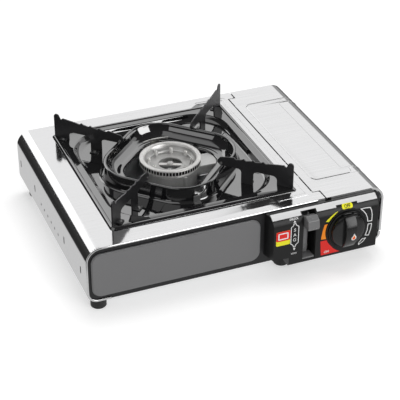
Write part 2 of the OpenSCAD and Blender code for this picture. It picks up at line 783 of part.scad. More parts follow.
bracket_w = 26;
bracket_reach = 34;
module burner_bracket() {
    w = bracket_w / 2;
    color("lightgray") difference() {
        union() {
            box([tray_x - bracket_reach, tray_y - w, body_bottom - bracket_t],
                [tray_x + bracket_reach, tray_y + w, body_bottom]);
            for (s = [-1, 1]) {
                x = tray_x + s * bracket_reach;
                leg = x - s * bracket_t;
                toe = x + s * 12;
                box([min(x, leg), tray_y - w, pan_top], [max(x, leg), tray_y + w, body_bottom]);
                box([min(leg, toe), tray_y - w, pan_top], [max(leg, toe), tray_y + w, pan_top + bracket_t]);
            }
        }
        rod_z(tray_x, tray_y, screw_r + fixed_gap, body_bottom - 5, body_bottom + 5);
        // Room for the mixing tube's lower side and a slot for the heat plate.
        rod([tray_x, tray_y, tube_z], [elbow_x, tray_y, tube_z], tube_dia / 2 + 0.5);
        box([tray_x + bracket_reach - bracket_t - 1, heat_y - heat_w / 2 - 0.2, heat_z - heat_t - 0.2],
            [tray_x + bracket_reach + 1, heat_y + heat_w / 2 + 0.2, heat_z]);
    }
}

// Strip that leads the burner's heat under the cartridge and keeps its gas flowing.
heat_w = 12;
heat_y = tray_y + 7;
heat_t = 1.2;
heat_z = body_bottom - bracket_t;
heat_bend = 6;

module heat_plate() {
    r = cartridge_dia / 2 + 0.6;
    turn = cartridge_x - r * cos(20);
    low = cartridge_z - r * sin(20);
    color("silver") pull_y(concat(
        [[tray_x + 8, heat_z], [tray_x + 8, heat_z - heat_t]],
        arc(turn - heat_bend - heat_t, heat_z - heat_bend - heat_t, heat_bend, 90, 0, 6),
        arc(cartridge_x, cartridge_z, r + heat_t, 200, 250, 8),
        arc(cartridge_x, cartridge_z, r, 250, 200, 8),
        arc(turn - heat_bend - heat_t, heat_z - heat_bend - heat_t, heat_bend + heat_t, 0, 90, 6)),
        heat_y - heat_w / 2, heat_y + heat_w / 2);
}

// Igniter behind the ring, at this angle and distance from the burner's axis.
spark_angle = 92;
spark_r = ring_dia / 2 + 6;
ceramic_r = 2.4;
ceramic_low = body_bottom - 12;
ceramic_top = top - 2;
guard_t = 1.2;
guard_r = spark_r + ceramic_r + 1.4;
guard_low = body_bottom - bracket_t - guard_t;
guard_top = top + ring_top - 0.6;
guard_half = 20;

// An arc of sheet about the burner's axis, from radius r0 to r1 and half degrees each side.
module guard_arc(r0, r1, z0, z1, half) {
    at_burner(spark_angle - half) translate([0, 0, z0]) rotate_extrude(angle = 2 * half)
        translate([r0, 0]) square([r1 - r0, z1 - z0]);
}

// Bracket that holds the electrode, with a roof that traps gas over its tip.
module electrode_guard() {
    color([0.75, 0.73, 0.68]) difference() {
        union() {
            at_burner(spark_angle - 90) translate([-6, bracket_w / 2 - 6, guard_low])
                cube([12, guard_r - bracket_w / 2 + 6.5, guard_t]);
            guard_arc(guard_r, guard_r + guard_t, guard_low + 0.3, guard_top - 0.5, 7);
            guard_arc(spark_r - 2.6, guard_r + guard_t + 0.4, guard_top - guard_t, guard_top, guard_half);
        }
        at_burner(spark_angle) rod_z(spark_r, 0, ceramic_r + fixed_gap, guard_low - 1, guard_low + 3);
    }
}

module electrode() {
    tip = [ring_dia / 2 + 2, 0, ceramic_top + 3];
    color("ivory") at_burner(spark_angle) rod_z(spark_r, 0, ceramic_r, ceramic_low, ceramic_top);
    color("dimgray") at_burner(spark_angle) {
        rod_z(spark_r, 0, 0.9, ceramic_top - eps, ceramic_top + 3.6);
        rod([spark_r, 0, ceramic_top + 3], tip, 0.8);
    }
}

// Lead from the piezo igniter to the electrode. It runs through the partition and over the base pan.
lead_r = 1.3;
piezo_x = knob_x - 23;
piezo_z = knob_z - 4;
piezo_end = front + 30;
spark_x = tray_x + spark_r * cos(spark_angle);
spark_y = tray_y + spark_r * sin(spark_angle);
lead_route = [[piezo_x, piezo_end + 0.3, piezo_z], [piezo_x, piezo_end + 20, piezo_z],
    [wall_x + 13, piezo_end + 60, piezo_z], [wall_x, piezo_end + 92, piezo_z - 4],
    [wall_x - 18, piezo_end + 100, pan_top + 10], [tray_x + 46, tray_y + 30, pan_top + 4],
    [tray_x + 14, tray_y + 46, pan_top + 4], [spark_x + 1, spark_y + 5, pan_top + 8],
    [spark_x, spark_y, ceramic_low - 8], [spark_x, spark_y, ceramic_low - 0.3]];
lead_steps = 6;

// A point of the smooth curve through the route (Catmull-Rom).
function route_point(pts, k, u) = let (n = len(pts) - 1, a = pts[max(k - 1, 0)], b = pts[k],
    c = pts[min(k + 1, n)], d = pts[min(k + 2, n)])
    0.5 * (2 * b + (c - a) * u + (2 * a - 5 * b + 4 * c - d) * u * u + (3 * b - a - 3 * c + d) * u * u * u);
function smooth_route(pts, steps) = concat([for (k = [0:len(pts) - 2], i = [0:steps - 1])
    route_point(pts, k, i / steps)], [pts[len(pts) - 1]]);
function unit(v) = v / norm(v);

// A tube swept along the points, with rings square to the route.
module sweep(pts, r, sides = 8) {
    n = len(pts);
    ring = [for (i = [0:n - 1]) let (t = unit(pts[min(i + 1, n - 1)] - pts[max(i - 1, 0)]),
        side = unit(cross(t, abs(t[2]) > 0.9 ? [0, 1, 0] : [0, 0, 1])), up = cross(side, t))
        for (j = [0:sides - 1]) pts[i] + r * (side * cos(360 * j / sides) + up * sin(360 * j / sides))];
    walls = [for (i = [0:n - 2], j = [0:sides - 1]) let (a = i * sides + j, b = i * sides + (j + 1) % sides)
        each [[a, b, b + sides], [a, b + sides, a + sides]]];
    ends = [[for (j = [sides - 1:-1:0]) j], [for (j = [0:sides - 1]) (n - 1) * sides + j]];
    polyhedron(ring, concat(walls, ends));
}

module ignition_lead() {
    color("firebrick") sweep(smooth_route(lead_route, lead_steps), lead_r);
}

module piezo_igniter() {
    color([0.12, 0.12, 0.12]) {
        box([piezo_x - 7, plate_back, piezo_z - 7], [piezo_x + 7, piezo_end - 8, piezo_z + 7]);
        rod_y(piezo_x, piezo_z, 5, piezo_end - 8 - eps, piezo_end);
    }
}

// ---------- feet, screws, hinge parts ----------

module foot(x, y, z) {
    color([0.2, 0.2, 0.2]) difference() {
        union() {
            rod_z(x, y, foot_dia / 2 - 0.8, 0, 0.8 + eps);
            rod_z(x, y, foot_dia / 2, 0.8, z - 2);
            rod_z(x, y, foot_dia / 2 - 1, z - 2 - eps, z);
        }
        rod_z(x, y, screw_head_r + 0.4, -1, 3);
        rod_z(x, y, screw_r + fixed_gap, 0, z + 1);
    }
}

// A screw from below: its head in the foot, its tip in the sheet above.
module foot_screw(x, y, z) {
    rod_z(x, y, screw_r, 3 - screw_head_h, z + 2.5);
    rod_z(x, y, screw_head_r, 3 - screw_head_h, 3);
}

module foot_screws() {
    color("silver") for (y = foot_y) {
        foot_screw(foot_left_x, y, bottom);
        foot_screw(foot_mid_x, y, bottom + sheet);
        foot_screw(foot_right_x, y, bay_floor);
    }
}

// Rivets through the rear panel into the base pan and the trough.
module case_rivets() {
    color("silver") for (p = rivet_at) {
        rod_y(p[0], p[1], rivet_r, inner_back - sheet - 0.8, rear_y + sheet + eps);
        rod_y(p[0], p[1], rivet_r + 1, inner_back - sheet - 0.8, inner_back - sheet);
        translate([p[0], rear_y + sheet, p[1]]) rotate([-90, 0, 0])
            cylinder(h = 0.9, r1 = rivet_r + 1.2, r2 = rivet_r);
    }
}

// Lugs under the shell's tabs that hold the hinge pins.
lug_w = 3.5;
module hinge_lugs() {
    color("lightgray") for (y = [front + tab_d - lug_w - 0.5, back - tab_d + 0.5]) difference() {
        pull_y([[hinge_x - 2.6, top - sheet], [hinge_x + 2.6, top - sheet], [hinge_x + 2.6, hinge_z - 2.6],
            [hinge_x - 2.6, hinge_z - 2.6]], y, y + lug_w);
        rod_y(hinge_x, hinge_z, hinge_pin_dia / 2 + fixed_gap, y - 1, y + lug_w + 1);
    }
}

ear_gap = 1;
ear_w = 2.5;
module hinge_pins() {
    r = hinge_pin_dia / 2;
    past = ear_gap + ear_w + 0.5;
    color("silver") {
        rod_y(hinge_x, hinge_z, r, front + tab_d - lug_w - 1.5, front + tab_d + past);
        rod_y(hinge_x, hinge_z, r, back - tab_d - past, back - tab_d + lug_w + 1.5);
    }
}

// ---------- drip tray and pan supports ----------

function at_tray(pts) = [for (v = pts) v + [tray_x, tray_y]];
function tray_rect(in, r) = at_tray(round_rect(tray_w / 2 - in, tray_d / 2 - in, r));
// Rounded square set on its corner.
function diamond(half, r) = at_tray([for (v = round_rect(half, half, r))
    [v[0] * cos(45) - v[1] * sin(45), v[0] * sin(45) + v[1] * cos(45)]]);

floor_z = top - tray_deep;
pad_z = top + 0.2 + enamel;
ledge_z = top - ledge_deep;
lip_z = top + shield_h;
ledge_w = 8;
rim_r = 5;

shield_foot = 3;    // width of the foot turned in under the shield

module drip_tray() {
    e = enamel;
    color([0.05, 0.05, 0.05]) difference() {
        union() {
            slab(tray_rect(0, rim_r), top + 0.2, pad_z);
            difference() {
                taper(tray_rect(0, rim_r), top + 0.2, tray_rect(0.4, rim_r), pad_z + 1.2);
                taper(tray_rect(2.4, rim_r - 1), top, tray_rect(1.8, rim_r - 1), pad_z + 2);
            }
            taper(tray_rect(flange_w + wall_run - e / 2, recess_low_r), floor_z - e,
                tray_rect(flange_w - e, recess_r), top + 0.2 + eps);
        }
        taper(tray_rect(flange_w + wall_run + e / 4, recess_low_r), floor_z,
            tray_rect(flange_w - 0.1, recess_r), pad_z + eps);
        slab(diamond(shield_base - e - shield_foot, shield_r - 1), floor_z - e - 1, pad_z);
    }
}

// Raised shield round the burner, welded on the tray's floor by its foot.
module wind_shield() {
    e = enamel;
    color([0.05, 0.05, 0.05]) difference() {
        union() {
            taper(diamond(shield_base, shield_r + 3), floor_z, diamond(shield_half + 1, shield_r), lip_z - 1.4);
            // Rolled lip.
            taper(diamond(shield_half + 1, shield_r + 1), lip_z - 1.5,
                diamond(shield_half + 0.3, shield_r), lip_z);
        }
        // Inside of the shield down to the ledge, and the burner opening.
        taper(diamond(opening_half + ledge_w, shield_r - 8), ledge_z,
            diamond(shield_half - 1.6, shield_r - 1), lip_z + eps);
        slab(diamond(opening_half, shield_r - 14), floor_z - 1, lip_z);
        // Hollow under the shield, down past its foot.
        difference() {
            taper(diamond(shield_base - 2 * e, shield_r + 3 - e), floor_z + e,
                diamond(shield_half + 0.8 - e, shield_r - 1), lip_z - 2.2);
            taper(diamond(opening_half + ledge_w + e, shield_r - 7), ledge_z - e,
                diamond(shield_half - 1.6 + e, shield_r), lip_z - 1);
        }
        slab(diamond(shield_base - e - shield_foot, shield_r - 1), floor_z - 1, floor_z + e + eps);
    }
}

// A pan support lies in the plane of a tray diagonal. Its outline is drawn with the distance
// from the burner's axis as X and the height as Y.
shield_base = shield_half + 5;
recess_low_r = recess_r + 3;
recess_low = [tray_w, tray_d] / 2 - [1, 1] * (flange_w + wall_run + recess_low_r);
recess_end = (recess_low[0] + recess_low[1]) / sqrt(2) + recess_low_r;
support_reach = (min(tray_w, tray_d) / 2 - support_in) * sqrt(2);
post_in = (shield_base + recess_end - post_w) / 2 + post_shift;
post_out = post_in + post_w;
outer_post = support_reach - outer_post_w;
arch_r = min(5, (outer_post - post_out) / 2 - 0.2);
support_top = top + support_h;
horn_w = 6.8;
hook_r = shield_half - 4;
arch_low = lip_z + 0.2;
notch_out = support_reach - 32.4;   // place of the outermost notch
notch_in = hook_r + 18.7;           // place of the innermost notch
notch_pitch = (notch_out - notch_in) / (notches - 1);
peak_run = 2.4;                     // run from a peak down to its notch
top_fall = 0.75;                    // the top edge falls this much from notch to notch

function notch_points(i) = let (r = notch_out - i * notch_pitch, z = support_top - min(3, i) * top_fall)
    [[r - peak_run, z], [r, z - notch_deep], [r + notch_pitch * 0.6, z - 0.6]];

function support_outline() = concat(
    [[hook_r, arch_low], [hook_r - 3, arch_low + 3], [hook_r - 3, support_top - 9],
     [hook_r, support_top - 5], [hook_r + 8, support_top - 3.4]],
    [for (i = [notches - 1:-1:0]) each notch_points(i)],
    [[support_reach - horn_w - 4.4, support_top + 1.2], [support_reach - horn_w - 1.6, support_top - 0.9]],
    arc(support_reach - horn_w / 2, support_top + horn_h - horn_w / 2, horn_w / 2, 170, 0, 8),
    [[support_reach, pad_z], [outer_post, pad_z]],
    arc(outer_post - arch_r, top + 6.5, arch_r, 0, 90, 6),
    arc(post_out + arch_r, top + 6.5, arch_r, 90, 180, 6),
    [[post_out, floor_z], [post_in, floor_z]],
    arc(post_in - 4, arch_low - 4, 4, 0, 90, 6));

// One support, with two feet folded to one side of its plate.
module pan_support(angle) {
    foot_t = 1.2;
    color([0.14, 0.14, 0.14]) at_burner(angle) {
        rotate([90, 0, 0]) translate([0, 0, -support_t / 2]) linear_extrude(support_t)
            polygon(support_outline());
        box([post_in + 2, 0, floor_z], [post_out - 2, 8, floor_z + foot_t]);
        box([outer_post + 2, 0, pad_z], [support_reach - 8, 6, pad_z + foot_t]);
    }
}

support_angle = [225, 315, 135, 45];

// Rivets through the supports' folded feet, and the pins that lock their inner ends to the lip.
module support_rivets() {
    color("dimgray") for (a = support_angle) at_burner(a) {
        rod_z((post_in + post_out) / 2, 5, 2, floor_z + 1.2, floor_z + 2.4, 1.4);
        rod_z((outer_post + support_reach - 6) / 2, 3.6, 1.8, pad_z + 1.2, pad_z + 2.2, 1.3);
        for (y = [support_t / 2, -support_t / 2 - 1.6]) rod_y(hook_r + 1.5, arch_low + 3, 1.5, y, y + 1.6);
    }
}

// Lugs at the shield's front and back corners that locate the tray in the case.
lug_r = shield_base * sqrt(2) - (shield_r + 3) * (sqrt(2) - 1) + 0.1;
module tray_lugs() {
    color("dimgray") for (s = [-1, 1]) {
        y0 = tray_y + s * lug_r;
        box([tray_x - 4, min(y0, y0 + s * 5), floor_z], [tray_x + 4, max(y0, y0 + s * 5), floor_z + 1.4]);
        box([tray_x - 4, min(y0, y0 + s * 1.4), floor_z], [tray_x + 4, max(y0, y0 + s * 1.4), floor_z + 9]);
    }
}

// ---------- lid ----------

panel_x = [lid_x + 10.5, right - bend_r - 3];
panel_y = [front + 37, back - 38];
scoop_x = right - 28;   // left edge of the finger step
scoop_y = [front + 49, back - 46];

module cartridge_lid() {
    z_end = top - lid_drop;
    low = round_box([panel_x[0], panel_y[0]], [panel_x[1], panel_y[1]], 7);
    edge = [press_h, press_h];
    high = round_box([panel_x[0], panel_y[0]] + edge, [panel_x[1], panel_y[1]] - edge, 6.5);
    color("gainsboro") difference() {
        union() {
            pull_y(lid_strip(sheet, lid_x, z_end), front + tab_d + ear_gap, back - tab_d - ear_gap);
            pull_y(lid_strip(sheet, tab_x, z_end), front + eps, back);
            pull_y(lid_strip(hem_t, tab_x + 6, z_end), front, front + hem_d);
            taper(low, top - eps, high, top + press_h);
        }
        slab(round_box([scoop_x, scoop_y[0]], [panel_x[1] + 9, scoop_y[1]], 4), top, top + 3);
    }
}

module lid_ears() {
    w = 2.8;
    color("lightgray") for (y = [front + tab_d + ear_gap, back - tab_d - ear_gap - ear_w]) difference() {
        pull_y([[hinge_x - w, top - sheet], [hinge_x + 8, top - sheet], [hinge_x + w, hinge_z - w],
            [hinge_x - w, hinge_z - w]], y, y + ear_w);
        rod_y(hinge_x, hinge_z, hinge_pin_dia / 2 + bore_gap, y - 1, y + ear_w + 1);
    }
}

// Rib folded under the lid's top, clear of the cartridge.
module lid_stiffener() {
    color("lightgray") for (y = [front + 30, back - 34])
        box([lid_x + 14, y, top - sheet - 2.2], [right - bend_r - 2, y + 4, top - sheet]);
}

// ---------- knob ----------

module control_knob() {
    y0 = bezel_face - knob_gap;
    r = knob_dia / 2;
    disc_h = 1.6;
    body_d = knob_h * 0.5;
    bar_w = 10;
    dome_r = 52;
    color([0.08, 0.08, 0.08]) difference() {
        translate([knob_x, y0, knob_z]) rotate([90, 0, 0]) {
            rotate_extrude() polygon([[0, 0], [r + 1.6, 0], [r + 1.6, disc_h], [r, disc_h + 0.4],
                [r - 0.6, body_d], [r - 1.8, body_d + 0.8], [0, body_d + 0.8]]);
            intersection() {
                cylinder(h = knob_h, r = r - 0.7);
                translate([-bar_w / 2, -r, 1]) cube([bar_w, 2 * r, knob_h]);
                translate([-bar_w, 0, knob_h - dome_r]) rotate([0, 90, 0])
                    cylinder(h = 2 * bar_w, r = dome_r);
            }
        }
        rod_y(knob_x, knob_z, spindle_r + fixed_gap, y0 - 8, y0 + 1);
    }
}

module valve_spindle() {
    color("goldenrod") rod_y(knob_x, knob_z, spindle_r, bezel_face - knob_gap - 8, regulator_y + 11);
}

// Cam on the spindle that trips the piezo igniter.
module spindle_cam() {
    y0 = plate_back + 0.8;
    y1 = regulator_y - 0.8;
    color("whitesmoke") difference() {
        union() {
            rod_y(knob_x, knob_z, 6.5, y0, y1);
            box([knob_x - 12, y0, knob_z - 2], [knob_x, y1, knob_z + 2]);
        }
        rod_y(knob_x, knob_z, spindle_r + fixed_gap, y0 - 1, y1 + 1);
    }
}

// ---------- lock lever and pusher ----------

// Places the lever's parts, drawn level, at their raised rest position.
module at_lever() {
    translate([0, pivot_y, pivot_z]) rotate([-lever_rest, 0, 0]) children();
}

lever_front = -(pivot_y - bezel_face) - 2;

module lever_arm() {
    color("silver") at_lever() {
        difference() {
            union() {
                box([arm_x, lever_front, -arm_h / 2], [arm_x + arm_t, 0, arm_h / 2]);
                box([arm_x, 0, -arm_h / 2], [arm_x + arm_t, tail + 3, arm_h / 2]);
                rod_x(0, 0, arm_h / 2 + 2, arm_x, arm_x + arm_t);
                box([arm_x, -4, 0], [arm_x + arm_t, 4, crank]);
                rod_x(0, crank, 4, arm_x, arm_x + arm_t);
                rod_x(0, crank, pin_r, arm_x, pusher_x + pusher_t + 1);
            }
            rod_x(0, 0, pivot_r + bore_gap, arm_x - 1, arm_x + arm_t + 1);
        }
    }
}

module lever_tab() {
    x0 = slot_x - tab_w / 2;
    z0 = -tab_h / 2;
    y1 = lever_front + 6;
    color([0.25, 0.25, 0.25]) at_lever() difference() {
        pull_x([[y1, z0 + 2], [y1, z0 + tab_h - 2], [y1 - 9, z0 + tab_h], [y1 - 15, z0 + tab_h - 4],
            [y1 - 15, z0 + 3], [y1 - 13, z0]], x0, x0 + tab_w);
        box([arm_x - fixed_gap, lever_front - fixed_gap, -arm_h / 2 - fixed_gap],
            [arm_x + arm_t + fixed_gap, y1 + 1, arm_h / 2 + fixed_gap]);
    }
}

// Tension spring from the lever's tail down to a hook on the base pan.
spring_r = 1.9;
spring_wire = 0.45;
spring_turns = 7;
spring_y = pivot_y + tail * cos(lever_rest);
spring_x = arm_x + arm_t / 2;
spring_low = pan_top + 6;
spring_high = pivot_z - tail * sin(lever_rest) - arm_h / 2 - 4;

function coil_point(i, n) = let (a = 360 * spring_turns * i / n) [spring_x + spring_r * cos(a),
    spring_y + spring_r * sin(a), spring_low + (spring_high - spring_low) * i / n];

module lever_spring() {
    n = spring_turns * 10;
    hook_low = [[spring_x, spring_y, pan_top + 0.3], [spring_x, spring_y, spring_low - 3],
        [spring_x + spring_r * 0.7, spring_y - 0.8, spring_low - 0.8]];
    hook_high = [[spring_x + spring_r * 0.7, spring_y + 0.8, spring_high + 0.8],
        [spring_x, spring_y, spring_high + 2.4], [spring_x, spring_y, spring_high + 3.5]];
    color("silver") sweep(concat(hook_low, [for (i = [0:n]) coil_point(i, n)], hook_high), spring_wire, 6);
}

// Pin that the lever turns on, riveted in the partition.
module lever_pivot() {
    color("silver") {
        rod_x(pivot_y, pivot_z, pivot_r, wall_x - eps, arm_x + arm_t + 1);
        rod_x(pivot_y, pivot_z, pivot_r + 2, wall_x - 1.5, wall_x);
        rod_x(pivot_y, pivot_z, pivot_r + 1.5, wall_x + sheet, arm_x - 0.2);
    }
}

// Rest angle puts the crank's pin behind its middle place by this much.
crank_rest_y = pivot_y + crank * sin(lever_rest);
crank_rest_z = pivot_z + crank * cos(lever_rest);
yoke_h = 14;
yoke_half = 7;
bar_low = crank_rest_z - pusher_h / 2;
pin_gap = 0.15;                 // gap of the crank's pin in the yoke
plate_w = 1.6;                  // thickness of the pusher's plate

module pusher_bar() {
    color("silver") difference() {
        union() {
            box([pusher_x, crank_rest_y - yoke_half, bar_low],
                [pusher_x + pusher_t, pusher_plate_y + plate_w, bar_low + pusher_h]);
            box([pusher_x, crank_rest_y - yoke_half, crank_rest_z - yoke_h / 2],
                [pusher_x + pusher_t, crank_rest_y + yoke_half, crank_rest_z + 5]);
        }
        box([pusher_x - 1, crank_rest_y - pin_r - pin_gap, crank_rest_z - 5],
            [pusher_x + pusher_t + 1, crank_rest_y + pin_r + pin_gap, crank_rest_z + 3]);
    }
}

module pusher_plate() {
    x0 = pusher_x + pusher_t;
    color("silver") {
        box([x0, pusher_plate_y, cartridge_z - 9],
            [cartridge_x + 14, pusher_plate_y + plate_w, cartridge_z + 25]);
        rod_y(cartridge_x, cartridge_z + 6, 11, pusher_plate_y - 1, pusher_plate_y + eps);
    }
}

guide_y = [pivot_y + 40, pusher_plate_y - 40];
module pusher_guides() {
    color([0.8, 0.8, 0.78]) for (y = guide_y) difference() {
        box([wall_x + sheet, y, bar_low - 3], [pusher_x + pusher_t + 2, y + 10, bar_low + pusher_h + 1.6]);
        box([pusher_x - run_gap, y - 1, bar_low - 0.2], [pusher_x + pusher_t + run_gap, y + 11,
            bar_low + pusher_h + 0.2]);
    }
}

// ---------- the stove ----------

outer_shell();
rear_panel();
base_pan();
front_plate();
front_inlay();
control_bezel();
bezel_band();
bezel_screws();
partition_wall();
cartridge_trough();
cartridge_saddles();
regulator_body();
regulator_cap();
regulator_bracket();
regulator_screws();
gas_jet();
burner_body();
burner_ring();
burner_screw();
burner_bracket();
heat_plate();
electrode_guard();
electrode();
ignition_lead();
piezo_igniter();
foot(foot_left_x, foot_y[0], bottom);  // foot_front_left
foot(foot_left_x, foot_y[1], bottom);  // foot_rear_left
foot(foot_mid_x, foot_y[0], bottom + sheet);  // foot_front_middle
foot(foot_mid_x, foot_y[1], bottom + sheet);  // foot_rear_middle
foot(foot_right_x, foot_y[0], bay_floor);  // foot_front_right
foot(foot_right_x, foot_y[1], bay_floor);  // foot_rear_right
foot_screws();
case_rivets();
hinge_lugs();
hinge_pins();
pusher_guides();
lever_pivot();
lever_spring();
drip_tray();
wind_shield();
pan_support(support_angle[0]);  // pan_support_front_left
pan_support(support_angle[1]);  // pan_support_front_right
pan_support(support_angle[2]);  // pan_support_rear_left
pan_support(support_angle[3]);  // pan_support_rear_right
support_rivets();
tray_lugs();
cartridge_lid();
lid_ears();
lid_stiffener();
control_knob();
valve_spindle();
spindle_cam();
lever_arm();
lever_tab();
pusher_bar();
pusher_plate();
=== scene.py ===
"""Dresses a portable gas stove: finishes, refined pieces, marks and a plain studio."""
import json
import math

import bpy
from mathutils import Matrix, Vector

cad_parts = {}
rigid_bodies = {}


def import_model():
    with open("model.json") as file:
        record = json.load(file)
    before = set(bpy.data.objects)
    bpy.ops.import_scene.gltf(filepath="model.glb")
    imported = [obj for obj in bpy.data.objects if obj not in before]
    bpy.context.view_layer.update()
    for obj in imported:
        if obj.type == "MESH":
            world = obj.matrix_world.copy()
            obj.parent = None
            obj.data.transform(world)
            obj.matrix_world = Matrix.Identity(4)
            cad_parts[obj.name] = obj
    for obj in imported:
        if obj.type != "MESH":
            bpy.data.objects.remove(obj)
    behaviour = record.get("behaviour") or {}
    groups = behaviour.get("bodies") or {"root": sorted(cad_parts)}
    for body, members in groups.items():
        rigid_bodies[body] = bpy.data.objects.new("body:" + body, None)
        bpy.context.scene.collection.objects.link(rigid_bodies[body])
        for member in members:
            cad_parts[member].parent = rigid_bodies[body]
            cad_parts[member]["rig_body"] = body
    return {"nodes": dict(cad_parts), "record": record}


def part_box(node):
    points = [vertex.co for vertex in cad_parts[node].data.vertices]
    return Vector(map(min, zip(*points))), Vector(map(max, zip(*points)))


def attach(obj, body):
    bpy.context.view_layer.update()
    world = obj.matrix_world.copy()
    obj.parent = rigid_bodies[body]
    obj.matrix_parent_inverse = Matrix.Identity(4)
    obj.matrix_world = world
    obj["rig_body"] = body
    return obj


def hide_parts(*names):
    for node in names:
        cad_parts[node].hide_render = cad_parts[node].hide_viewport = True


bl_info = {
    "name": "Camping Stove",
    "version": (1, 0, 0),
    "blender": (4, 5, 0),
    "location": "View3D > Sidebar > Stove",
    "description": "Dresses a portable gas stove and sets it in a plain studio",
    "category": "Object",
}

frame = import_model()
MM = 0.001
PER_RADIAN = math.degrees(1.0)

# The case as modelled, in millimetres: height of its top, half its width, the place of the front
# opening's face, and the radius of its top bends as folded and as they are opened out.
TOP, SIDE, FRONT = 80.0, 170.0, -115.5
FOLD, BEND = 12.0, 17.0


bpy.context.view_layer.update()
SLOT_OF = {part["node"]: part["material_slot"] for part in frame["record"]["subparts"]}


def span(node):
    """Lowest and highest corner of a node, in millimetres."""
    low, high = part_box(node)
    return low / MM, high / MM


# ---------- settings ----------

def length(name, description, default):
    return bpy.props.FloatProperty(name=name, description=description, default=default * MM,
                                   min=0.0, precision=5, unit="LENGTH", subtype="DISTANCE")


def colour(name, description, default):
    return bpy.props.FloatVectorProperty(name=name, description=description, default=default,
                                         size=3, min=0.0, max=1.0, subtype="COLOR")


def factor(name, description, default, high=1.0):
    return bpy.props.FloatProperty(name=name, description=description, default=default,
                                   min=0.0, max=high, subtype="FACTOR")


class StoveSizes(bpy.types.PropertyGroup):
    sheet_edge: length("Sheet edge", "Rounding on the edges of the steel sheet", 0.3)
    support_edge: length("Support edge", "Rounding on the pan supports' edges", 0.3)
    bezel_edge: length("Bezel edge", "Rounding on the bezel's edges", 0.5)
    lever_edge: length("Lever edge", "Rounding on the lever block's edges", 0.9)
    rim_width: length("Rim width", "Width of the tray's rolled rim", 4.6)
    flange: length("Flange", "Width of the tray's flat flange", 12.0)
    slope: length("Slope", "Run of the recess wall", 5.0)
    recess_corner: length("Recess corner", "Corner radius of the recess at its top", 42.0)
    tray_sheet: length("Tray sheet", "Thickness of the enamelled sheet", 1.0)
    shield_half: length("Shield", "Half width of the wind shield's foot", 69.0)
    shield_corner: length("Shield corner", "Corner radius of the wind shield's foot", 44.0)
    ring_inner: length("Ring inside", "Inner radius of the burner ring", 29.3)
    ring_outer: length("Ring outside", "Outer radius of the burner ring", 34.5)
    knob_radius: length("Knob radius", "Radius of the knob's disc", 22.1)
    grip_width: length("Grip width", "Width of the knob's grip", 13.4)
    mark_height: length("Mark height", "Thickness of the printed marks", 0.06)


class StoveColours(bpy.types.PropertyGroup):
    stainless: colour("Stainless", "Polished stainless sheet", (0.74, 0.74, 0.745))
    galvanised: colour("Galvanised", "Zinc coated sheet", (0.60, 0.61, 0.62))
    inlay: colour("Inlay", "Grey lacquer on the front inlay", (0.165, 0.165, 0.168))
    lacquer: colour("Black lacquer", "Black lacquer on the front plate", (0.012, 0.012, 0.013))
    bezel: colour("Bezel", "Black moulded plastic", (0.0095, 0.0095, 0.0098))
    foil: colour("Foil", "Silver foil band", (0.90, 0.90, 0.905))
    enamel: colour("Enamel", "Gloss black enamel", (0.004, 0.004, 0.0045))
    support: colour("Supports", "Semi-matt black enamel", (0.018, 0.018, 0.019))
    cast: colour("Cast aluminium", "Die cast aluminium", (0.70, 0.70, 0.69))
    ring: colour("Ring", "Turned burner ring", (0.86, 0.85, 0.83))
    brass: colour("Brass", "Bare turned brass", (0.60, 0.42, 0.17))
    zinc: colour("Zinc", "Bright zinc plating", (0.66, 0.67, 0.68))
    rubber: colour("Rubber", "Black rubber", (0.02, 0.02, 0.02))
    yellow: colour("Yellow", "Yellow print", (0.84, 0.80, 0.02))
    orange: colour("Orange", "Orange print", (0.90, 0.26, 0.01))
    red: colour("Red", "Red print", (0.74, 0.022, 0.016))
    white: colour("White", "White print", (0.84, 0.84, 0.84))


class StudioSettings(bpy.types.PropertyGroup):
    lens: bpy.props.FloatProperty(name="Lens", description="Focal length in millimetres",
                                  default=116.16, min=10.0, max=400.0)
    sky: factor("Sky", "Even light from all round", 0.50, 2.0)
    key: bpy.props.FloatProperty(name="Key light", description="Power of the key lamp",
                                 default=20.0, min=0.0, subtype="POWER")
    fill: bpy.props.FloatProperty(name="Fill light", description="Power of the front lamp",
                                  default=20.0, min=0.0, subtype="POWER")
    floor: colour("Floor", "Colour of the floor", (0.70, 0.70, 0.70))


# ---------- modelling helpers ----------

def clear_selection():
    if bpy.context.object and bpy.context.object.mode != "OBJECT":
        bpy.ops.object.mode_set(mode="OBJECT")
    bpy.ops.object.select_all(action="DESELECT")


def pick(active, *others):
    """Selects the objects alone and makes the first one active."""
    clear_selection()
    for obj in (*others, active):
        obj.select_set(True)
    bpy.context.view_layer.objects.active = active


def in_edit(obj, mode="VERT"):
    """Opens a mesh in edit mode with nothing selected."""
    pick(obj)
    bpy.ops.object.mode_set(mode="EDIT")
    bpy.ops.mesh.select_mode(type=mode)
    bpy.ops.mesh.select_all(action="DESELECT")


def edit_all(obj, mode="VERT"):
    """Opens a mesh in edit mode with all of it selected."""
    in_edit(obj, mode)
    bpy.ops.mesh.select_all(action="SELECT")


def edit_open_edges(obj):
    """Opens a mesh in edit mode with the edges selected that bound a hole."""
    in_edit(obj, "EDGE")
    bpy.ops.mesh.select_non_manifold(extend=False, use_wire=False, use_multi_face=False,
                                     use_non_contiguous=False, use_verts=False)


def out_of_edit():
    bpy.ops.object.mode_set(mode="OBJECT")


def place_here():
    """Moves the active object's place, turn and size into its mesh."""
    bpy.ops.object.transform_apply(location=True, rotation=True, scale=True)


def select_faces(obj, test):
    """Selects the faces that pass the test, in edit mode."""
    bpy.ops.object.mode_set(mode="OBJECT")
    for face in obj.data.polygons:
        face.select = bool(test(face))
    bpy.ops.object.mode_set(mode="EDIT")


def apply_modifier(obj, kind, **settings):
    pick(obj)
    modifier = obj.modifiers.new(kind.title(), kind)
    for key, value in settings.items():
        setattr(modifier, key, value)
    bpy.ops.object.modifier_apply(modifier=modifier.name)


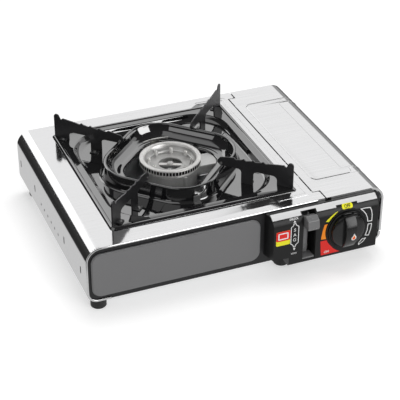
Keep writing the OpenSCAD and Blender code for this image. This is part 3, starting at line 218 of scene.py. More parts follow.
def edged(obj, width, segments=3, angle=30.0, **settings):
    """Rounds the edges that turn by more than the angle."""
    apply_modifier(obj, "BEVEL", width=width, segments=segments, limit_method="ANGLE",
                   angle_limit=math.radians(angle), **settings)


def smooth(obj, angle=35.0):
    pick(obj)
    bpy.ops.object.shade_smooth_by_angle(angle=math.radians(angle))


def flatten(obj):
    """Keeps large faces flat in the shading, so that reflections run straight."""
    apply_modifier(obj, "WEIGHTED_NORMAL", mode="FACE_AREA_WITH_ANGLE", weight=90, keep_sharp=True)


def merge(obj, distance=0.005):
    edit_all(obj)
    bpy.ops.mesh.remove_doubles(threshold=distance * MM)
    out_of_edit()


UP, FORWARD = (0.0, 0.0, 1.0), (0.0, -1.0, 0.0)


def turn_out(obj, way=None):
    """Recalculates the normals to point outwards, and those of an open sheet to point the given way."""
    edit_all(obj)
    bpy.ops.mesh.normals_make_consistent(inside=False)
    out_of_edit()
    if way and sum(face.normal.dot(way) * face.area for face in obj.data.polygons) < 0:
        edit_all(obj)
        bpy.ops.mesh.flip_normals()
        out_of_edit()


def dress(obj, body, slot, *nodes, material=None):
    """Gives a piece its finish, its body and the nodes it stands for."""
    obj.data.materials.clear()
    obj.data.materials.append(bpy.data.materials[material or slot])
    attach(obj, body)
    if nodes:
        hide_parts(*nodes)
    return obj


def softened(node, width, segments=2, angle=30.0, flat=1.0):
    """A copy of a node with whole faces and rounded edges, which stands for it."""
    source = frame["nodes"][node]
    body = source["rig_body"]
    piece = bpy.data.objects.new(node + "_finished", source.data.copy())
    bpy.context.scene.collection.objects.link(piece)
    pick(piece)
    if piece.data.has_custom_normals:
        bpy.ops.mesh.customdata_custom_splitnormals_clear()
    edit_all(piece)
    bpy.ops.mesh.remove_doubles(threshold=0.004 * MM)
    bpy.ops.mesh.dissolve_limited(angle_limit=math.radians(flat))
    out_of_edit()
    if width:
        edged(piece, width, segments, angle, use_clamp_overlap=True, miter_outer="MITER_ARC")
    smooth(piece, 40.0)
    flatten(piece)
    return dress(piece, body, SLOT_OF[node], node)


def widen_bend(obj, side):
    """Opens the bend along the case's top corner from its fold radius to the full one."""
    slack, skin = 30.0, 4.5   # how far in the flat top is drawn back, and how deep it is taken to be
    for vertex in obj.data.vertices:
        x, z = side * vertex.co.x / MM, vertex.co.z / MM
        past, over = x - (SIDE - FOLD), z - (TOP - FOLD)
        if past > -0.01 and over > -0.01:
            reach = math.hypot(past, over)
            if reach < 0.5:   # on the fold's own axis
                continue
            past, over = (v * (reach + BEND - FOLD) / reach for v in (past, over))
            vertex.co.x = side * (SIDE - BEND + past) * MM
            vertex.co.z = (TOP - BEND + over) * MM
        elif x > SIDE - slack and z > TOP - skin:
            vertex.co.x = side * (SIDE - slack + (x - SIDE + slack) * (slack - BEND) / (slack - FOLD)) * MM


def rounded_outline(name, centre, half, radius, height, turn=0.0, segments=14, ring=0):
    """A flat outline with rounded corners, from a plane whose corners are bevelled."""
    clear_selection()
    bpy.ops.mesh.primitive_plane_add(size=2.0, location=(centre[0] * MM, centre[1] * MM, height * MM),
                                     rotation=(0.0, 0.0, math.radians(turn)))
    obj = bpy.context.object
    obj.name = name
    obj.scale = (half[0] * MM, half[1] * MM, 1.0)
    place_here()
    edit_all(obj)
    bpy.ops.mesh.bevel(offset=radius * MM, segments=segments, profile=0.5, affect="VERTICES")
    bpy.ops.mesh.delete(type="ONLY_FACE")
    out_of_edit()
    mark = obj.data.attributes.new("ring", "INT", "POINT")
    mark.data.foreach_set("value", [ring] * len(obj.data.vertices))
    return obj


def skinned(name, outlines, filled=()):
    """Joins outlines made in order and bridges each to the next."""
    pick(outlines[0], *outlines[1:])
    bpy.ops.object.join()
    obj = bpy.context.object
    obj.name = name
    for step in range(len(outlines) - 1):
        pair = (step, step + 1)
        pick(obj)
        values = [item.value for item in obj.data.attributes["ring"].data]
        for edge in obj.data.edges:
            a, b = (values[v] for v in edge.vertices)
            edge.select = a == b and a in pair
        bpy.ops.object.mode_set(mode="EDIT")
        bpy.ops.mesh.select_mode(type="EDGE")
        if step in filled:
            bpy.ops.mesh.fill(use_beauty=True)
        else:
            bpy.ops.mesh.bridge_edge_loops()
        bpy.ops.mesh.select_all(action="DESELECT")
        out_of_edit()
    return obj


def round_ring(obj, ring, width, segments=4):
    """Rounds the edge loop that holds one outline."""
    pick(obj)
    values = [item.value for item in obj.data.attributes["ring"].data]
    for vertex in obj.data.vertices:
        vertex.select = False
    for face in obj.data.polygons:
        face.select = False
    for edge in obj.data.edges:
        edge.select = all(values[v] == ring for v in edge.vertices)
    bpy.ops.object.mode_set(mode="EDIT")
    bpy.ops.mesh.select_mode(type="EDGE")
    bpy.ops.mesh.bevel(offset=width * MM, segments=segments, profile=0.5, affect="EDGES")
    out_of_edit()


def drawn(name, places, fill="NGON"):
    """A circle's points moved to the given places, in millimetres, as a face or a bare outline."""
    clear_selection()
    bpy.ops.mesh.primitive_circle_add(vertices=len(places), radius=1.0, fill_type=fill)
    obj = bpy.context.object
    obj.name = name
    for vertex, place in zip(obj.data.vertices, places):
        vertex.co = Vector([v * MM for v in place])
    return obj


def turned(name, section, centre, upright=True, steps=96):
    """Spins a closed outline, given as (radius, place along the axis), round its axis."""
    def placed(across, aside, along):
        return (across, aside, along) if upright else (across, along, aside)

    obj = drawn(name, [placed(centre[0] + radius, centre[1], along) for radius, along in section], "NOTHING")
    edit_all(obj, "EDGE")
    bpy.ops.mesh.spin(steps=steps, angle=math.tau, axis=placed(0, 0, 1),
                      center=[v * MM for v in placed(centre[0], centre[1], 0.0)])
    out_of_edit()
    merge(obj, 0.002)
    turn_out(obj)
    return obj


def sliced(obj, place, normal, fill=False, clear=True):
    """Cuts a piece with a plane; what lies beyond it goes where asked."""
    edit_all(obj)
    bpy.ops.mesh.bisect(plane_co=tuple(v * MM for v in place), plane_no=normal, clear_outer=clear, use_fill=fill)
    out_of_edit()


def plate(name, points, front, back):
    """A flat shape in the front plane, drawn as (x, z), pulled backwards into a plate."""
    obj = drawn(name, [(x, front, z) for x, z in points])
    edit_all(obj, "FACE")
    bpy.ops.mesh.extrude_region_move(TRANSFORM_OT_translate={"value": (0.0, (back - front) * MM, 0.0)})
    out_of_edit()
    turn_out(obj)
    return obj


# ---------- node helpers ----------

def add(tree, kind, inputs=None, **settings):
    node = tree.nodes.new(kind)
    for key, value in settings.items():
        setattr(node, key, value)
    for key, value in (inputs or {}).items():
        if isinstance(value, bpy.types.NodeSocket):
            tree.links.new(value, node.inputs[key])
        else:
            node.inputs[key].default_value = value
    return node


def noise(tree, where, scale, detail, **more):
    return add(tree, "ShaderNodeTexNoise", {"Vector": where, "Scale": scale, "Detail": detail, **more}).outputs["Fac"]


def remap(tree, source, low, high, to_low, to_high, smoothly=False):
    return add(tree, "ShaderNodeMapRange",
               {"Value": source, "From Min": low, "From Max": high, "To Min": to_low, "To Max": to_high},
               interpolation_type="SMOOTHSTEP" if smoothly else "LINEAR").outputs["Result"]


def calc(tree, operation, a, b=0.0, clamp=False):
    return add(tree, "ShaderNodeMath", {0: a, 1: b}, operation=operation, use_clamp=clamp).outputs["Value"]


def effect(name, inputs, outputs):
    """A node group with named inputs and outputs, and its two end nodes."""
    group = bpy.data.node_groups.new(name, "ShaderNodeTree")
    for label, kind, value in inputs:
        socket = group.interface.new_socket(label, in_out="INPUT", socket_type=kind)
        if value is not None:
            socket.default_value = value
    for label, kind in outputs:
        group.interface.new_socket(label, in_out="OUTPUT", socket_type=kind)
    start = group.nodes.new("NodeGroupInput")
    end = group.nodes.new("NodeGroupOutput")
    return group, start, end


FLOAT, VECTOR, COLOUR = "NodeSocketFloat", "NodeSocketVector", "NodeSocketColor"


def build_effects():
    """Node groups for grain, marks, moulded skin, cast skin and dust."""
    # Rolled grain: long fine streaks along the sheet.
    group, start, end = effect("Sheet Grain", [("Coordinates", VECTOR, None), ("Stretch", VECTOR, (12, 900, 900)),
                                               ("Roughness", FLOAT, 0.1), ("Spread", FLOAT, 0.05)],
                               [("Tone", FLOAT), ("Roughness", FLOAT), ("Height", FLOAT)])
    scaled = add(group, "ShaderNodeVectorMath", {0: start.outputs["Coordinates"], 1: start.outputs["Stretch"]},
                 operation="MULTIPLY").outputs["Vector"]
    streak = noise(group, scaled, 1.0, 3.0)
    broad = noise(group, start.outputs["Coordinates"], 14.0, 2.0)
    group.links.new(remap(group, streak, 0.3, 0.7, 0.955, 1.03), end.inputs["Tone"])
    mixed = calc(group, "ADD", calc(group, "MULTIPLY", streak, 0.6), calc(group, "MULTIPLY", broad, 0.4))
    centred = calc(group, "SUBTRACT", mixed, 0.5)
    rough = calc(group, "MULTIPLY", calc(group, "MULTIPLY", centred, start.outputs["Spread"]), 3.0)
    group.links.new(calc(group, "ADD", rough, start.outputs["Roughness"], clamp=True), end.inputs["Roughness"])
    group.links.new(streak, end.inputs["Height"])

    # Hand marks: soft smears and a few hair scratches.
    group, start, end = effect("Hand Marks", [("Coordinates", VECTOR, None), ("Scale", FLOAT, 22.0),
                                              ("Amount", FLOAT, 0.05)], [("Mask", FLOAT), ("Scratches", FLOAT)])
    smear = noise(group, start.outputs["Coordinates"], start.outputs["Scale"], 5.0, Distortion=1.2)
    group.links.new(calc(group, "MULTIPLY", remap(group, smear, 0.52, 0.75, 0.0, 1.0, True),
                         start.outputs["Amount"]), end.inputs["Mask"])
    askew = add(group, "ShaderNodeMapping", {"Vector": start.outputs["Coordinates"],
                                             "Rotation": (0.3, 0.2, 0.9), "Scale": (30, 900, 500)}).outputs["Vector"]
    hair = noise(group, askew, 1.0, 1.0)
    group.links.new(remap(group, hair, 0.70, 0.74, 0.0, 1.0), end.inputs["Scratches"])

    # Moulded skin: the fine spark grain of a plastic moulding.
    group, start, end = effect("Moulded Skin", [("Coordinates", VECTOR, None), ("Scale", FLOAT, 1600.0),
                                                ("Roughness", FLOAT, 0.35)],
                               [("Height", FLOAT), ("Roughness", FLOAT)])
    cells = add(group, "ShaderNodeTexVoronoi", {"Vector": start.outputs["Coordinates"],
                                                "Scale": start.outputs["Scale"]}).outputs["Distance"]
    broad = noise(group, start.outputs["Coordinates"], 60.0, 4.0)
    group.links.new(cells, end.inputs["Height"])
    group.links.new(calc(group, "ADD", remap(group, broad, 0.3, 0.7, -0.05, 0.05), start.outputs["Roughness"], True),
                    end.inputs["Roughness"])

    # Cast skin: blasted die cast metal with slightly darker hollows.
    group, start, end = effect("Cast Skin", [("Coordinates", VECTOR, None), ("Scale", FLOAT, 900.0)],
                               [("Tone", FLOAT), ("Height", FLOAT), ("Roughness", FLOAT)])
    grit = noise(group, start.outputs["Coordinates"], start.outputs["Scale"], 6.0, Roughness=0.65)
    flow = noise(group, start.outputs["Coordinates"], 45.0, 3.0, Distortion=0.8)
    group.links.new(calc(group, "MULTIPLY", remap(group, grit, 0.3, 0.7, 0.9, 1.05),
                         remap(group, flow, 0.3, 0.7, 0.86, 1.06)), end.inputs["Tone"])
    group.links.new(grit, end.inputs["Height"])
    group.links.new(remap(group, flow, 0.3, 0.7, 0.30, 0.46), end.inputs["Roughness"])

    # Enamel skin: fired glass with a faint orange peel.
    group, start, end = effect("Enamel Skin", [("Coordinates", VECTOR, None), ("Scale", FLOAT, 110.0)],
                               [("Height", FLOAT), ("Roughness", FLOAT)])
    peel = noise(group, start.outputs["Coordinates"], start.outputs["Scale"], 1.5)
    haze = noise(group, start.outputs["Coordinates"], 30.0, 4.0)
    group.links.new(peel, end.inputs["Height"])
    group.links.new(remap(group, haze, 0.3, 0.75, 0.035, 0.085), end.inputs["Roughness"])

    # Settled dust: a pale veil on what faces up.
    group, start, end = effect("Settled Dust", [("Coordinates", VECTOR, None), ("Normal", VECTOR, None),
                                                ("Amount", FLOAT, 0.1)], [("Mask", FLOAT)])
    up = add(group, "ShaderNodeSeparateXYZ", {"Vector": start.outputs["Normal"]}).outputs["Z"]
    specks = noise(group, start.outputs["Coordinates"], 420.0, 4.0)
    lying = calc(group, "MULTIPLY", remap(group, up, 0.3, 1.0, 0.0, 1.0, True),
                 remap(group, specks, 0.45, 0.7, 0.2, 1.0))
    group.links.new(calc(group, "MULTIPLY", lying, start.outputs["Amount"]), end.inputs["Mask"])


def use(tree, name, inputs):
    """The outputs of an effect."""
    return add(tree, "ShaderNodeGroup", inputs, node_tree=bpy.data.node_groups[name]).outputs


def new_finish(name, base, roughness, **sockets):
    """A new material's tree, its Principled BSDF and the object coordinates."""
    plain = bpy.data.materials.get(name)
    if plain:
        plain.name = name + "_plain"
    material = bpy.data.materials.new(name)
    material.use_nodes = True
    tree = material.node_tree
    shader = tree.nodes["Principled BSDF"]
    shader.inputs["Base Color"].default_value = (*base, 1.0)
    shader.inputs["Roughness"].default_value = roughness
    for key, value in sockets.items():
        shader.inputs[key.replace("_", " ")].default_value = value
    return tree, shader, add(tree, "ShaderNodeTexCoord").outputs["Object"]


def tint(tree, base, tone, target):
    """Multiplies a colour by a tone and feeds it to a colour socket."""
    mixed = add(tree, "ShaderNodeVectorMath", {0: tuple(base), 1: tone}, operation="MULTIPLY").outputs["Vector"]
    tree.links.new(mixed, target)


def cover(tree, under, over, mask, target):
    """Lays a colour over another where the mask is."""
    mix = add(tree, "ShaderNodeMix", {"Factor": mask, "A": (*under, 1.0), "B": (*over, 1.0)}, data_type="RGBA")
    tree.links.new(mix.outputs["Result"], target)


def settle(tree, where, base, dust, amount, shader):
    """Lays settled dust over a plain colour, where there is any."""
    if amount:
        normal = add(tree, "ShaderNodeTexCoord").outputs["Normal"]
        lying = use(tree, "Settled Dust", {"Coordinates": where, "Normal": normal, "Amount": amount})
        cover(tree, base, dust, lying["Mask"], shader.inputs["Base Color"])


def bump(tree, height, strength, distance, shader):
    node = add(tree, "ShaderNodeBump", {"Height": height, "Strength": strength, "Distance": distance * MM})
    tree.links.new(node.outputs["Normal"], shader.inputs["Normal"])
    return node


# ---------- finishes ----------

def sheet_finish(name, base, roughness, stretch, spread=0.05, smears=0.05, peel=0.12):
    """Rolled metal sheet with grain, smears and a slow waviness."""
    tree, shader, where = new_finish(name, base, roughness, Metallic=1.0)
    grain = use(tree, "Sheet Grain", {"Coordinates": where, "Stretch": stretch, "Roughness": roughness,
                                      "Spread": spread})
    marks = use(tree, "Hand Marks", {"Coordinates": where, "Amount": smears})
    tint(tree, base, grain["Tone"], shader.inputs["Base Color"])
    tree.links.new(calc(tree, "ADD", grain["Roughness"], calc(tree, "ADD", marks["Mask"],
                   calc(tree, "MULTIPLY", marks["Scratches"], 0.12)), True), shader.inputs["Roughness"])
    wave = noise(tree, where, 9.0, 1.0)
    fine = bump(tree, grain["Height"], 0.05, 0.01, shader)
    slow = add(tree, "ShaderNodeBump", {"Height": wave, "Strength": peel, "Distance": 1.5 * MM,
                                        "Normal": fine.outputs["Normal"]})
    tree.links.new(slow.outputs["Normal"], shader.inputs["Normal"])


def moulded_finish(name, base, roughness, scale=1600.0, strength=0.25, dust=0.03, **sockets):
    """Moulded plastic or rubber with a spark grain and a little dust."""
    tree, shader, where = new_finish(name, base, roughness, **sockets)
    skin = use(tree, "Moulded Skin", {"Coordinates": where, "Scale": scale, "Roughness": roughness})
    settle(tree, where, base, (0.42, 0.41, 0.40), dust, shader)
    tree.links.new(skin["Roughness"], shader.inputs["Roughness"])
    bump(tree, skin["Height"], strength, 0.03, shader)


def lacquer_finish(name, base, roughness, peel=90.0, dust=0.02, strength=0.1, **sockets):
    """Sprayed lacquer with a faint orange peel."""
    tree, shader, where = new_finish(name, base, roughness, **sockets)
    skin = use(tree, "Enamel Skin", {"Coordinates": where, "Scale": peel})
    settle(tree, where, base, (0.45, 0.44, 0.42), dust, shader)
    tree.links.new(calc(tree, "ADD", skin["Roughness"], roughness - 0.06, True), shader.inputs["Roughness"])
    bump(tree, skin["Height"], strength, 0.4, shader)


def cast_finish(name, base, **sockets):
    """Die cast metal with a blasted skin."""
    tree, shader, where = new_finish(name, base, 0.4, **sockets)
    skin = use(tree, "Cast Skin", {"Coordinates": where, "Scale": 900.0})
    tint(tree, base, skin["Tone"], shader.inputs["Base Color"])
    tree.links.new(skin["Roughness"], shader.inputs["Roughness"])
    bump(tree, skin["Height"], 0.25, 0.06, shader)


def turned_finish(name, base, roughness, centre, pitch=0.25, metallic=1.0):
    """Turned metal whose cutter marks run round an upright axis."""
    tree, shader, where = new_finish(name, base, roughness, Metallic=metallic)
    moved = add(tree, "ShaderNodeMapping", {"Vector": where, "Location": (-centre[0] * MM, -centre[1] * MM, 0.0)})
    waves = add(tree, "ShaderNodeTexWave", {"Vector": moved.outputs["Vector"], "Scale": 1.0 / (pitch * MM) / math.tau,
                                            "Distortion": 0.6, "Detail": 2.0}, wave_type="RINGS",
                rings_direction="Z").outputs["Fac"]
    skin = use(tree, "Cast Skin", {"Coordinates": where, "Scale": 300.0})
    tint(tree, base, skin["Tone"], shader.inputs["Base Color"])
    tree.links.new(remap(tree, waves, 0.0, 1.0, roughness - 0.03, roughness + 0.05), shader.inputs["Roughness"])
    bump(tree, waves, 0.06, 0.02, shader)


def support_finish(name, base, top):
    """Semi-matt enamel, a little paler where pans rub the top edges."""
    tree, shader, where = new_finish(name, base, 0.32, Specular_IOR_Level=0.42)
    skin = use(tree, "Enamel Skin", {"Coordinates": where, "Scale": 260.0})
    height = add(tree, "ShaderNodeSeparateXYZ", {"Vector": where}).outputs["Z"]
    normal = add(tree, "ShaderNodeTexCoord").outputs["Normal"]
    up = add(tree, "ShaderNodeSeparateXYZ", {"Vector": normal}).outputs["Z"]
    patchy = noise(tree, where, 300.0, 4.0)
    rubbed = calc(tree, "MULTIPLY", remap(tree, height, (top - 8) * MM, (top + 4) * MM, 0.1, 1.0, True),
                  calc(tree, "MULTIPLY", remap(tree, up, 0.2, 0.7, 0.0, 1.0, True),
                       remap(tree, patchy, 0.35, 0.6, 0.35, 1.0)))
    cover(tree, base, (0.20, 0.20, 0.205), rubbed, shader.inputs["Base Color"])
    tree.links.new(calc(tree, "ADD", skin["Roughness"], 0.24, True), shader.inputs["Roughness"])
    bump(tree, skin["Height"], 0.12, 0.15, shader)


def print_finish(name, base):
    """Screen printed ink."""
    tree, shader, where = new_finish(name, base, 0.38, Specular_IOR_Level=0.35)
    grit = noise(tree, where, 1500.0, 2.0)
    tint(tree, base, remap(tree, grit, 0.3, 0.7, 0.93, 1.04), shader.inputs["Base Color"])
    tree.links.new(remap(tree, grit, 0.3, 0.7, 0.33, 0.43), shader.inputs["Roughness"])


class STOVE_OT_finishes(bpy.types.Operator):
    """Build every finish and lay it on the nodes that stay"""
    bl_idname = "stove.finishes"
    bl_label = "Finishes"

    def execute(self, context):
        build_effects()
        c = context.scene.stove_colours
        burner = span("burner_ring")
        axis = (burner[0] + burner[1]) / 2
        sheet_finish("stainless", tuple(c.stainless), 0.10, (14, 700, 700), 0.015, 0.03, 0.03)
        sheet_finish("galvanised", tuple(c.galvanised), 0.34, (60, 60, 60), 0.2, 0.08, 0.2)
        sheet_finish("linkage_steel", tuple(c.zinc), 0.24, (20, 800, 800), 0.08)
        lacquer_finish("inlay_grey", tuple(c.inlay), 0.34, 240.0, 0.01, 0.06, Specular_IOR_Level=0.4)
        lacquer_finish("plate_black", tuple(c.lacquer), 0.30, 160.0, 0.02, 0.08, Specular_IOR_Level=0.4)
        moulded_finish("bezel_black", tuple(c.bezel), 0.34, 1500.0, 0.22, 0.01, Specular_IOR_Level=0.28)
        lacquer_finish("band_silver", tuple(c.foil), 0.26, 200.0, 0.0, 0.03, Metallic=0.3)
        lacquer_finish("enamel_black", tuple(c.enamel), 0.06, 75.0, 0.002, 0.03, IOR=2.3,
                       Coat_Weight=1.0, Coat_Roughness=0.03, Coat_IOR=1.7)
        support_finish("support_black", tuple(c.support), span("pan_support_front_left")[1][2] - 5.5)
        lacquer_finish("lug_steel", (0.10, 0.10, 0.10), 0.20, 120.0, 0.01, 0.1)
        cast_finish("cast_aluminium", tuple(c.cast), Metallic=0.55)
        turned_finish("burner_alloy", tuple(c.ring), 0.42, axis, metallic=0.7)
        # The bowl's finish is darker than the ring's as painted shade in the burner's hollow.
        turned_finish("bowl_alloy", (0.52, 0.515, 0.505), 0.36, axis, metallic=0.7)
        sheet_finish("guard_steel", (0.55, 0.545, 0.53), 0.30, (300, 300, 30), 0.1)
        # Flat black that paints the shade inside the burner's ports and in the channel behind the front bead.
        moulded_finish("soot_black", (0.010, 0.010, 0.010), 0.7, 900.0, 0.2, 0.0, Specular_IOR_Level=0.2)
        moulded_finish("ceramic", (0.80, 0.78, 0.72), 0.55, 2200.0, 0.1, 0.05)
        turned_finish("brass", tuple(c.brass), 0.22, (129.2, -98.5))
        turned_finish("zinc_screws", tuple(c.zinc), 0.24, (0.0, 0.0), 0.6)
        moulded_finish("lead_red", (0.42, 0.03, 0.02), 0.42, 900.0, 0.1, 0.04)
        moulded_finish("foot_rubber", tuple(c.rubber), 0.55, 700.0, 0.4, 0.06, Specular_IOR_Level=0.35)
        moulded_finish("guide_nylon", (0.66, 0.65, 0.60), 0.42, 1200.0, 0.15, 0.03)
        moulded_finish("knob_black", (0.006, 0.006, 0.006), 0.20, 1300.0, 0.06, 0.0, Specular_IOR_Level=0.5)
        moulded_finish("lever_grey", (0.16, 0.16, 0.162), 0.26, 1500.0, 0.12, 0.02, Specular_IOR_Level=0.6)
        for label in ("yellow", "orange", "red", "white"):
            print_finish("ink_" + label, tuple(getattr(c, label)))
        print_finish("ink_black", (0.012, 0.012, 0.012))
        for node, obj in frame["nodes"].items():
            obj.data.materials.clear()
            obj.data.materials.append(bpy.data.materials[SLOT_OF[node]])
        return {"FINISHED"}


# ---------- case and lid ----------

PANEL_SHARE = 0.3     # how much of its height the lid's pressed panel keeps
REAR_CORNER = 15.9    # radius of the rear panel's top corners, inside the bends
# Pressed line in section: how far in from the line, and how high over the sheet.
CREASE = ((-1.6, -0.03), (-0.9, 0.03), (-0.2, 0.11), (0.0, 0.12), (0.15, 0.08), (0.5, -0.04))


class STOVE_OT_case(bpy.types.Operator):
    """Finish the case, the lid and the front with rolled and rounded edges"""
    bl_idname = "stove.case"
    bl_label = "Case and Lid"

    def execute(self, context):
        sizes = context.scene.stove_sizes
        for node, side in (("outer_shell", -1), ("cartridge_lid", 1)):
            sheet = softened(node, sizes.sheet_edge, 2, 28.0)
            for vertex in sheet.data.vertices:
                proud = vertex.co.z / MM - TOP
                if proud > 0.01:
                    vertex.co.z = (TOP + proud * PANEL_SHARE) * MM
            widen_bend(sheet, side)
        for node in ("front_plate", "front_inlay"):
            softened(node, sizes.sheet_edge * 1.5, 2, 28.0)
        rear = softened("rear_panel", sizes.sheet_edge * 0.6, 1, 40.0)
        for vertex in rear.data.vertices:
            past, over = abs(vertex.co.x) / MM - (SIDE - BEND), vertex.co.z / MM - (TOP - BEND)
            reach = math.hypot(past, over)
            if past > 0 and over > 0 and reach > REAR_CORNER:
                vertex.co.x = math.copysign(SIDE - BEND + past * REAR_CORNER / reach, vertex.co.x) * MM
                vertex.co.z = (TOP - BEND + over * REAR_CORNER / reach) * MM
        return {"FINISHED"}


class STOVE_OT_bead(bpy.types.Operator):
    """Model the rolled bead that frames the front opening"""
    bl_idname = "stove.bead"
    bl_label = "Front Bead"

    def execute(self, context):
        low = span("outer_shell")[0]
        left, right, bottom = low.x, 140.0, low.z
        end, foot_end = 89.6, -144.0
        section = [(0.02, 2.4), (0.02, 0.7), (0.16, 0.34), (0.55, 0.0), (0.95, -0.3), (1.15, -0.4), (1.5, -0.42),
                   (1.95, -0.4), (2.25, -0.25), (2.45, 0.1), (2.55, 1.15), (4.4, 1.2), (4.4, 2.4)]
        outlines = []
        for index, (inset, back) in enumerate(section):
            outline = rounded_outline("bead_outline", ((left + right) / 2, (bottom + TOP) / 2),
                                      ((right - left) / 2 - inset, (TOP - bottom) / 2 - inset),
                                      FOLD - inset, 0.0, segments=12, ring=index)
            for vertex in outline.data.vertices:
                x, z = vertex.co.x, vertex.co.y
                vertex.co = Vector((x, (FRONT + back) * MM, z))
            outlines.append(outline)
        bead = skinned("front_bead", outlines)
        edit_open_edges(bead)
        bpy.ops.mesh.bridge_edge_loops()
        bpy.ops.mesh.select_all(action="SELECT")
        bpy.ops.mesh.bisect(plane_co=(end * MM, 0, 0), plane_no=(1, 0, 0), clear_outer=True, use_fill=True)
        bpy.ops.mesh.select_all(action="SELECT")
        bpy.ops.mesh.bisect(plane_co=(foot_end * MM, 0, 0), plane_no=(1, 0, 0))
        bpy.ops.mesh.select_all(action="DESELECT")
        bpy.ops.mesh.select_mode(type="FACE")
        select_faces(bead, lambda face: face.center.x > (foot_end + 0.01) * MM and face.center.z < 40 * MM)
        bpy.ops.mesh.delete(type="FACE")
        edit_open_edges(bead)
        bpy.ops.mesh.fill()
        out_of_edit()
        turn_out(bead)
        smooth(bead, 42.0)
        dress(bead, "case", "stainless")
        # The second finish is painted shade: it blackens the channel behind the roll, where the gap reads dark.
        bead.data.materials.append(bpy.data.materials["soot_black"])
        for face in bead.data.polygons:
            across = abs(face.center.x / MM - (left + right) / 2) - ((right - left) / 2 - FOLD)
            along = abs(face.center.z / MM - (bottom + TOP) / 2) - ((TOP - bottom) / 2 - FOLD)
            inset = FOLD - math.hypot(max(across, 0.0), max(along, 0.0)) - min(max(across, along), 0.0)
            face.material_index = int(inset > 2.46)   # painted shade: the channel behind the roll gets a flat black finish
        widen_bend(bead, -1)
        return {"FINISHED"}


class STOVE_OT_creases(bpy.types.Operator):
    """Model the pressed lines in the lid and beside the tray, and the rolled end of the trough"""
    bl_idname = "stove.creases"
    bl_label = "Pressed Lines"

    def execute(self, context):
        lines = (("lid_line", (101.3, 190.0), (-79.3, 109.3), 7.6, (0.0, 172.0), "lid", "cartridge_lid"),
                 ("scoop_line", (142.2, 190.0), (-65.8, 99.8), 4.0, (0.0, 170.0), "lid", "cartridge_lid"),
                 ("bead_line_outer", (0.0, 86.2), (-103.7, 135.7), 4.0, (49.0, 200.0), "case", "outer_shell"),
                 ("bead_line_inner", (0.0, 81.6), (-99.2, 131.1), 2.6, (53.0, 200.0), "case", "outer_shell"))
        for name, xs, ys, radius, keep, body, node in lines:
            sheet = TOP + (0.22 if name == "scoop_line" else 0.0)   # that line lies on the pressed panel
            outlines = [rounded_outline(name, ((xs[0] + xs[1]) / 2, (ys[0] + ys[1]) / 2),
                                        ((xs[1] - xs[0]) / 2 - inset, (ys[1] - ys[0]) / 2 - inset),
                                        radius - inset, sheet + rise, ring=index)
                        for index, (inset, rise) in enumerate(CREASE)]
            line = skinned(name, outlines)
            sliced(line, (keep[0], 0, 0), (-1, 0, 0))
            sliced(line, (keep[1], 0, 0), (1, 0, 0))
            for step in range(11):
                sliced(line, (SIDE - BEND + step * 1.9, 0, 0), (1, 0, 0), clear=False)
            for vertex in line.data.vertices:
                past = vertex.co.x / MM - (SIDE - BEND)
                if past > 0 and body == "lid":
                    turn, out = past / BEND, BEND + vertex.co.z / MM - TOP
                    vertex.co.x = (SIDE - BEND + out * math.sin(turn)) * MM
                    vertex.co.z = (TOP - BEND + out * math.cos(turn)) * MM
            turn_out(line, UP)
            apply_modifier(line, "SOLIDIFY", thickness=0.06 * MM, offset=-1.0)
            smooth(line, 60.0)
            dress(line, body, SLOT_OF[node])
        floor, hem = span("cartridge_trough")[0].z, span("cartridge_lid")[0].z - 0.3
        start, roll, width = 98.0, 8.0, 3.2

        def corner(radius, turns):
            return [(SIDE - roll + radius * math.cos(math.radians(turn)),
                     floor + roll - radius * math.sin(math.radians(turn))) for turn in turns]

        points = [(SIDE, hem), *corner(roll, range(0, 91, 9)), (start, floor), (start, floor + width),
                  *corner(roll - width, range(90, -1, -9)), (SIDE - width, hem)]
        rim = plate("trough_rim", points, FRONT, FRONT + width)
        edged(rim, 1.0 * MM, 4, 50.0)
        smooth(rim, 40.0)
        dress(rim, "case", "stainless")
        return {"FINISHED"}


class STOVE_OT_feet(bpy.types.Operator):
    """Finish the rubber feet"""
    bl_idname = "stove.feet"
    bl_label = "Feet"

    def execute(self, context):
        for node in frame["nodes"]:
            if node.startswith("foot_") and node != "foot_screws":
                softened(node, 0.8 * MM, 2, 40.0, flat=0.5)
        return {"FINISHED"}


# ---------- tray ----------

TRAY_HEIGHTS = {"floor": 74.0, "flange": 81.2, "bead": 82.4, "ledge": 77.0, "lip": 91.0}


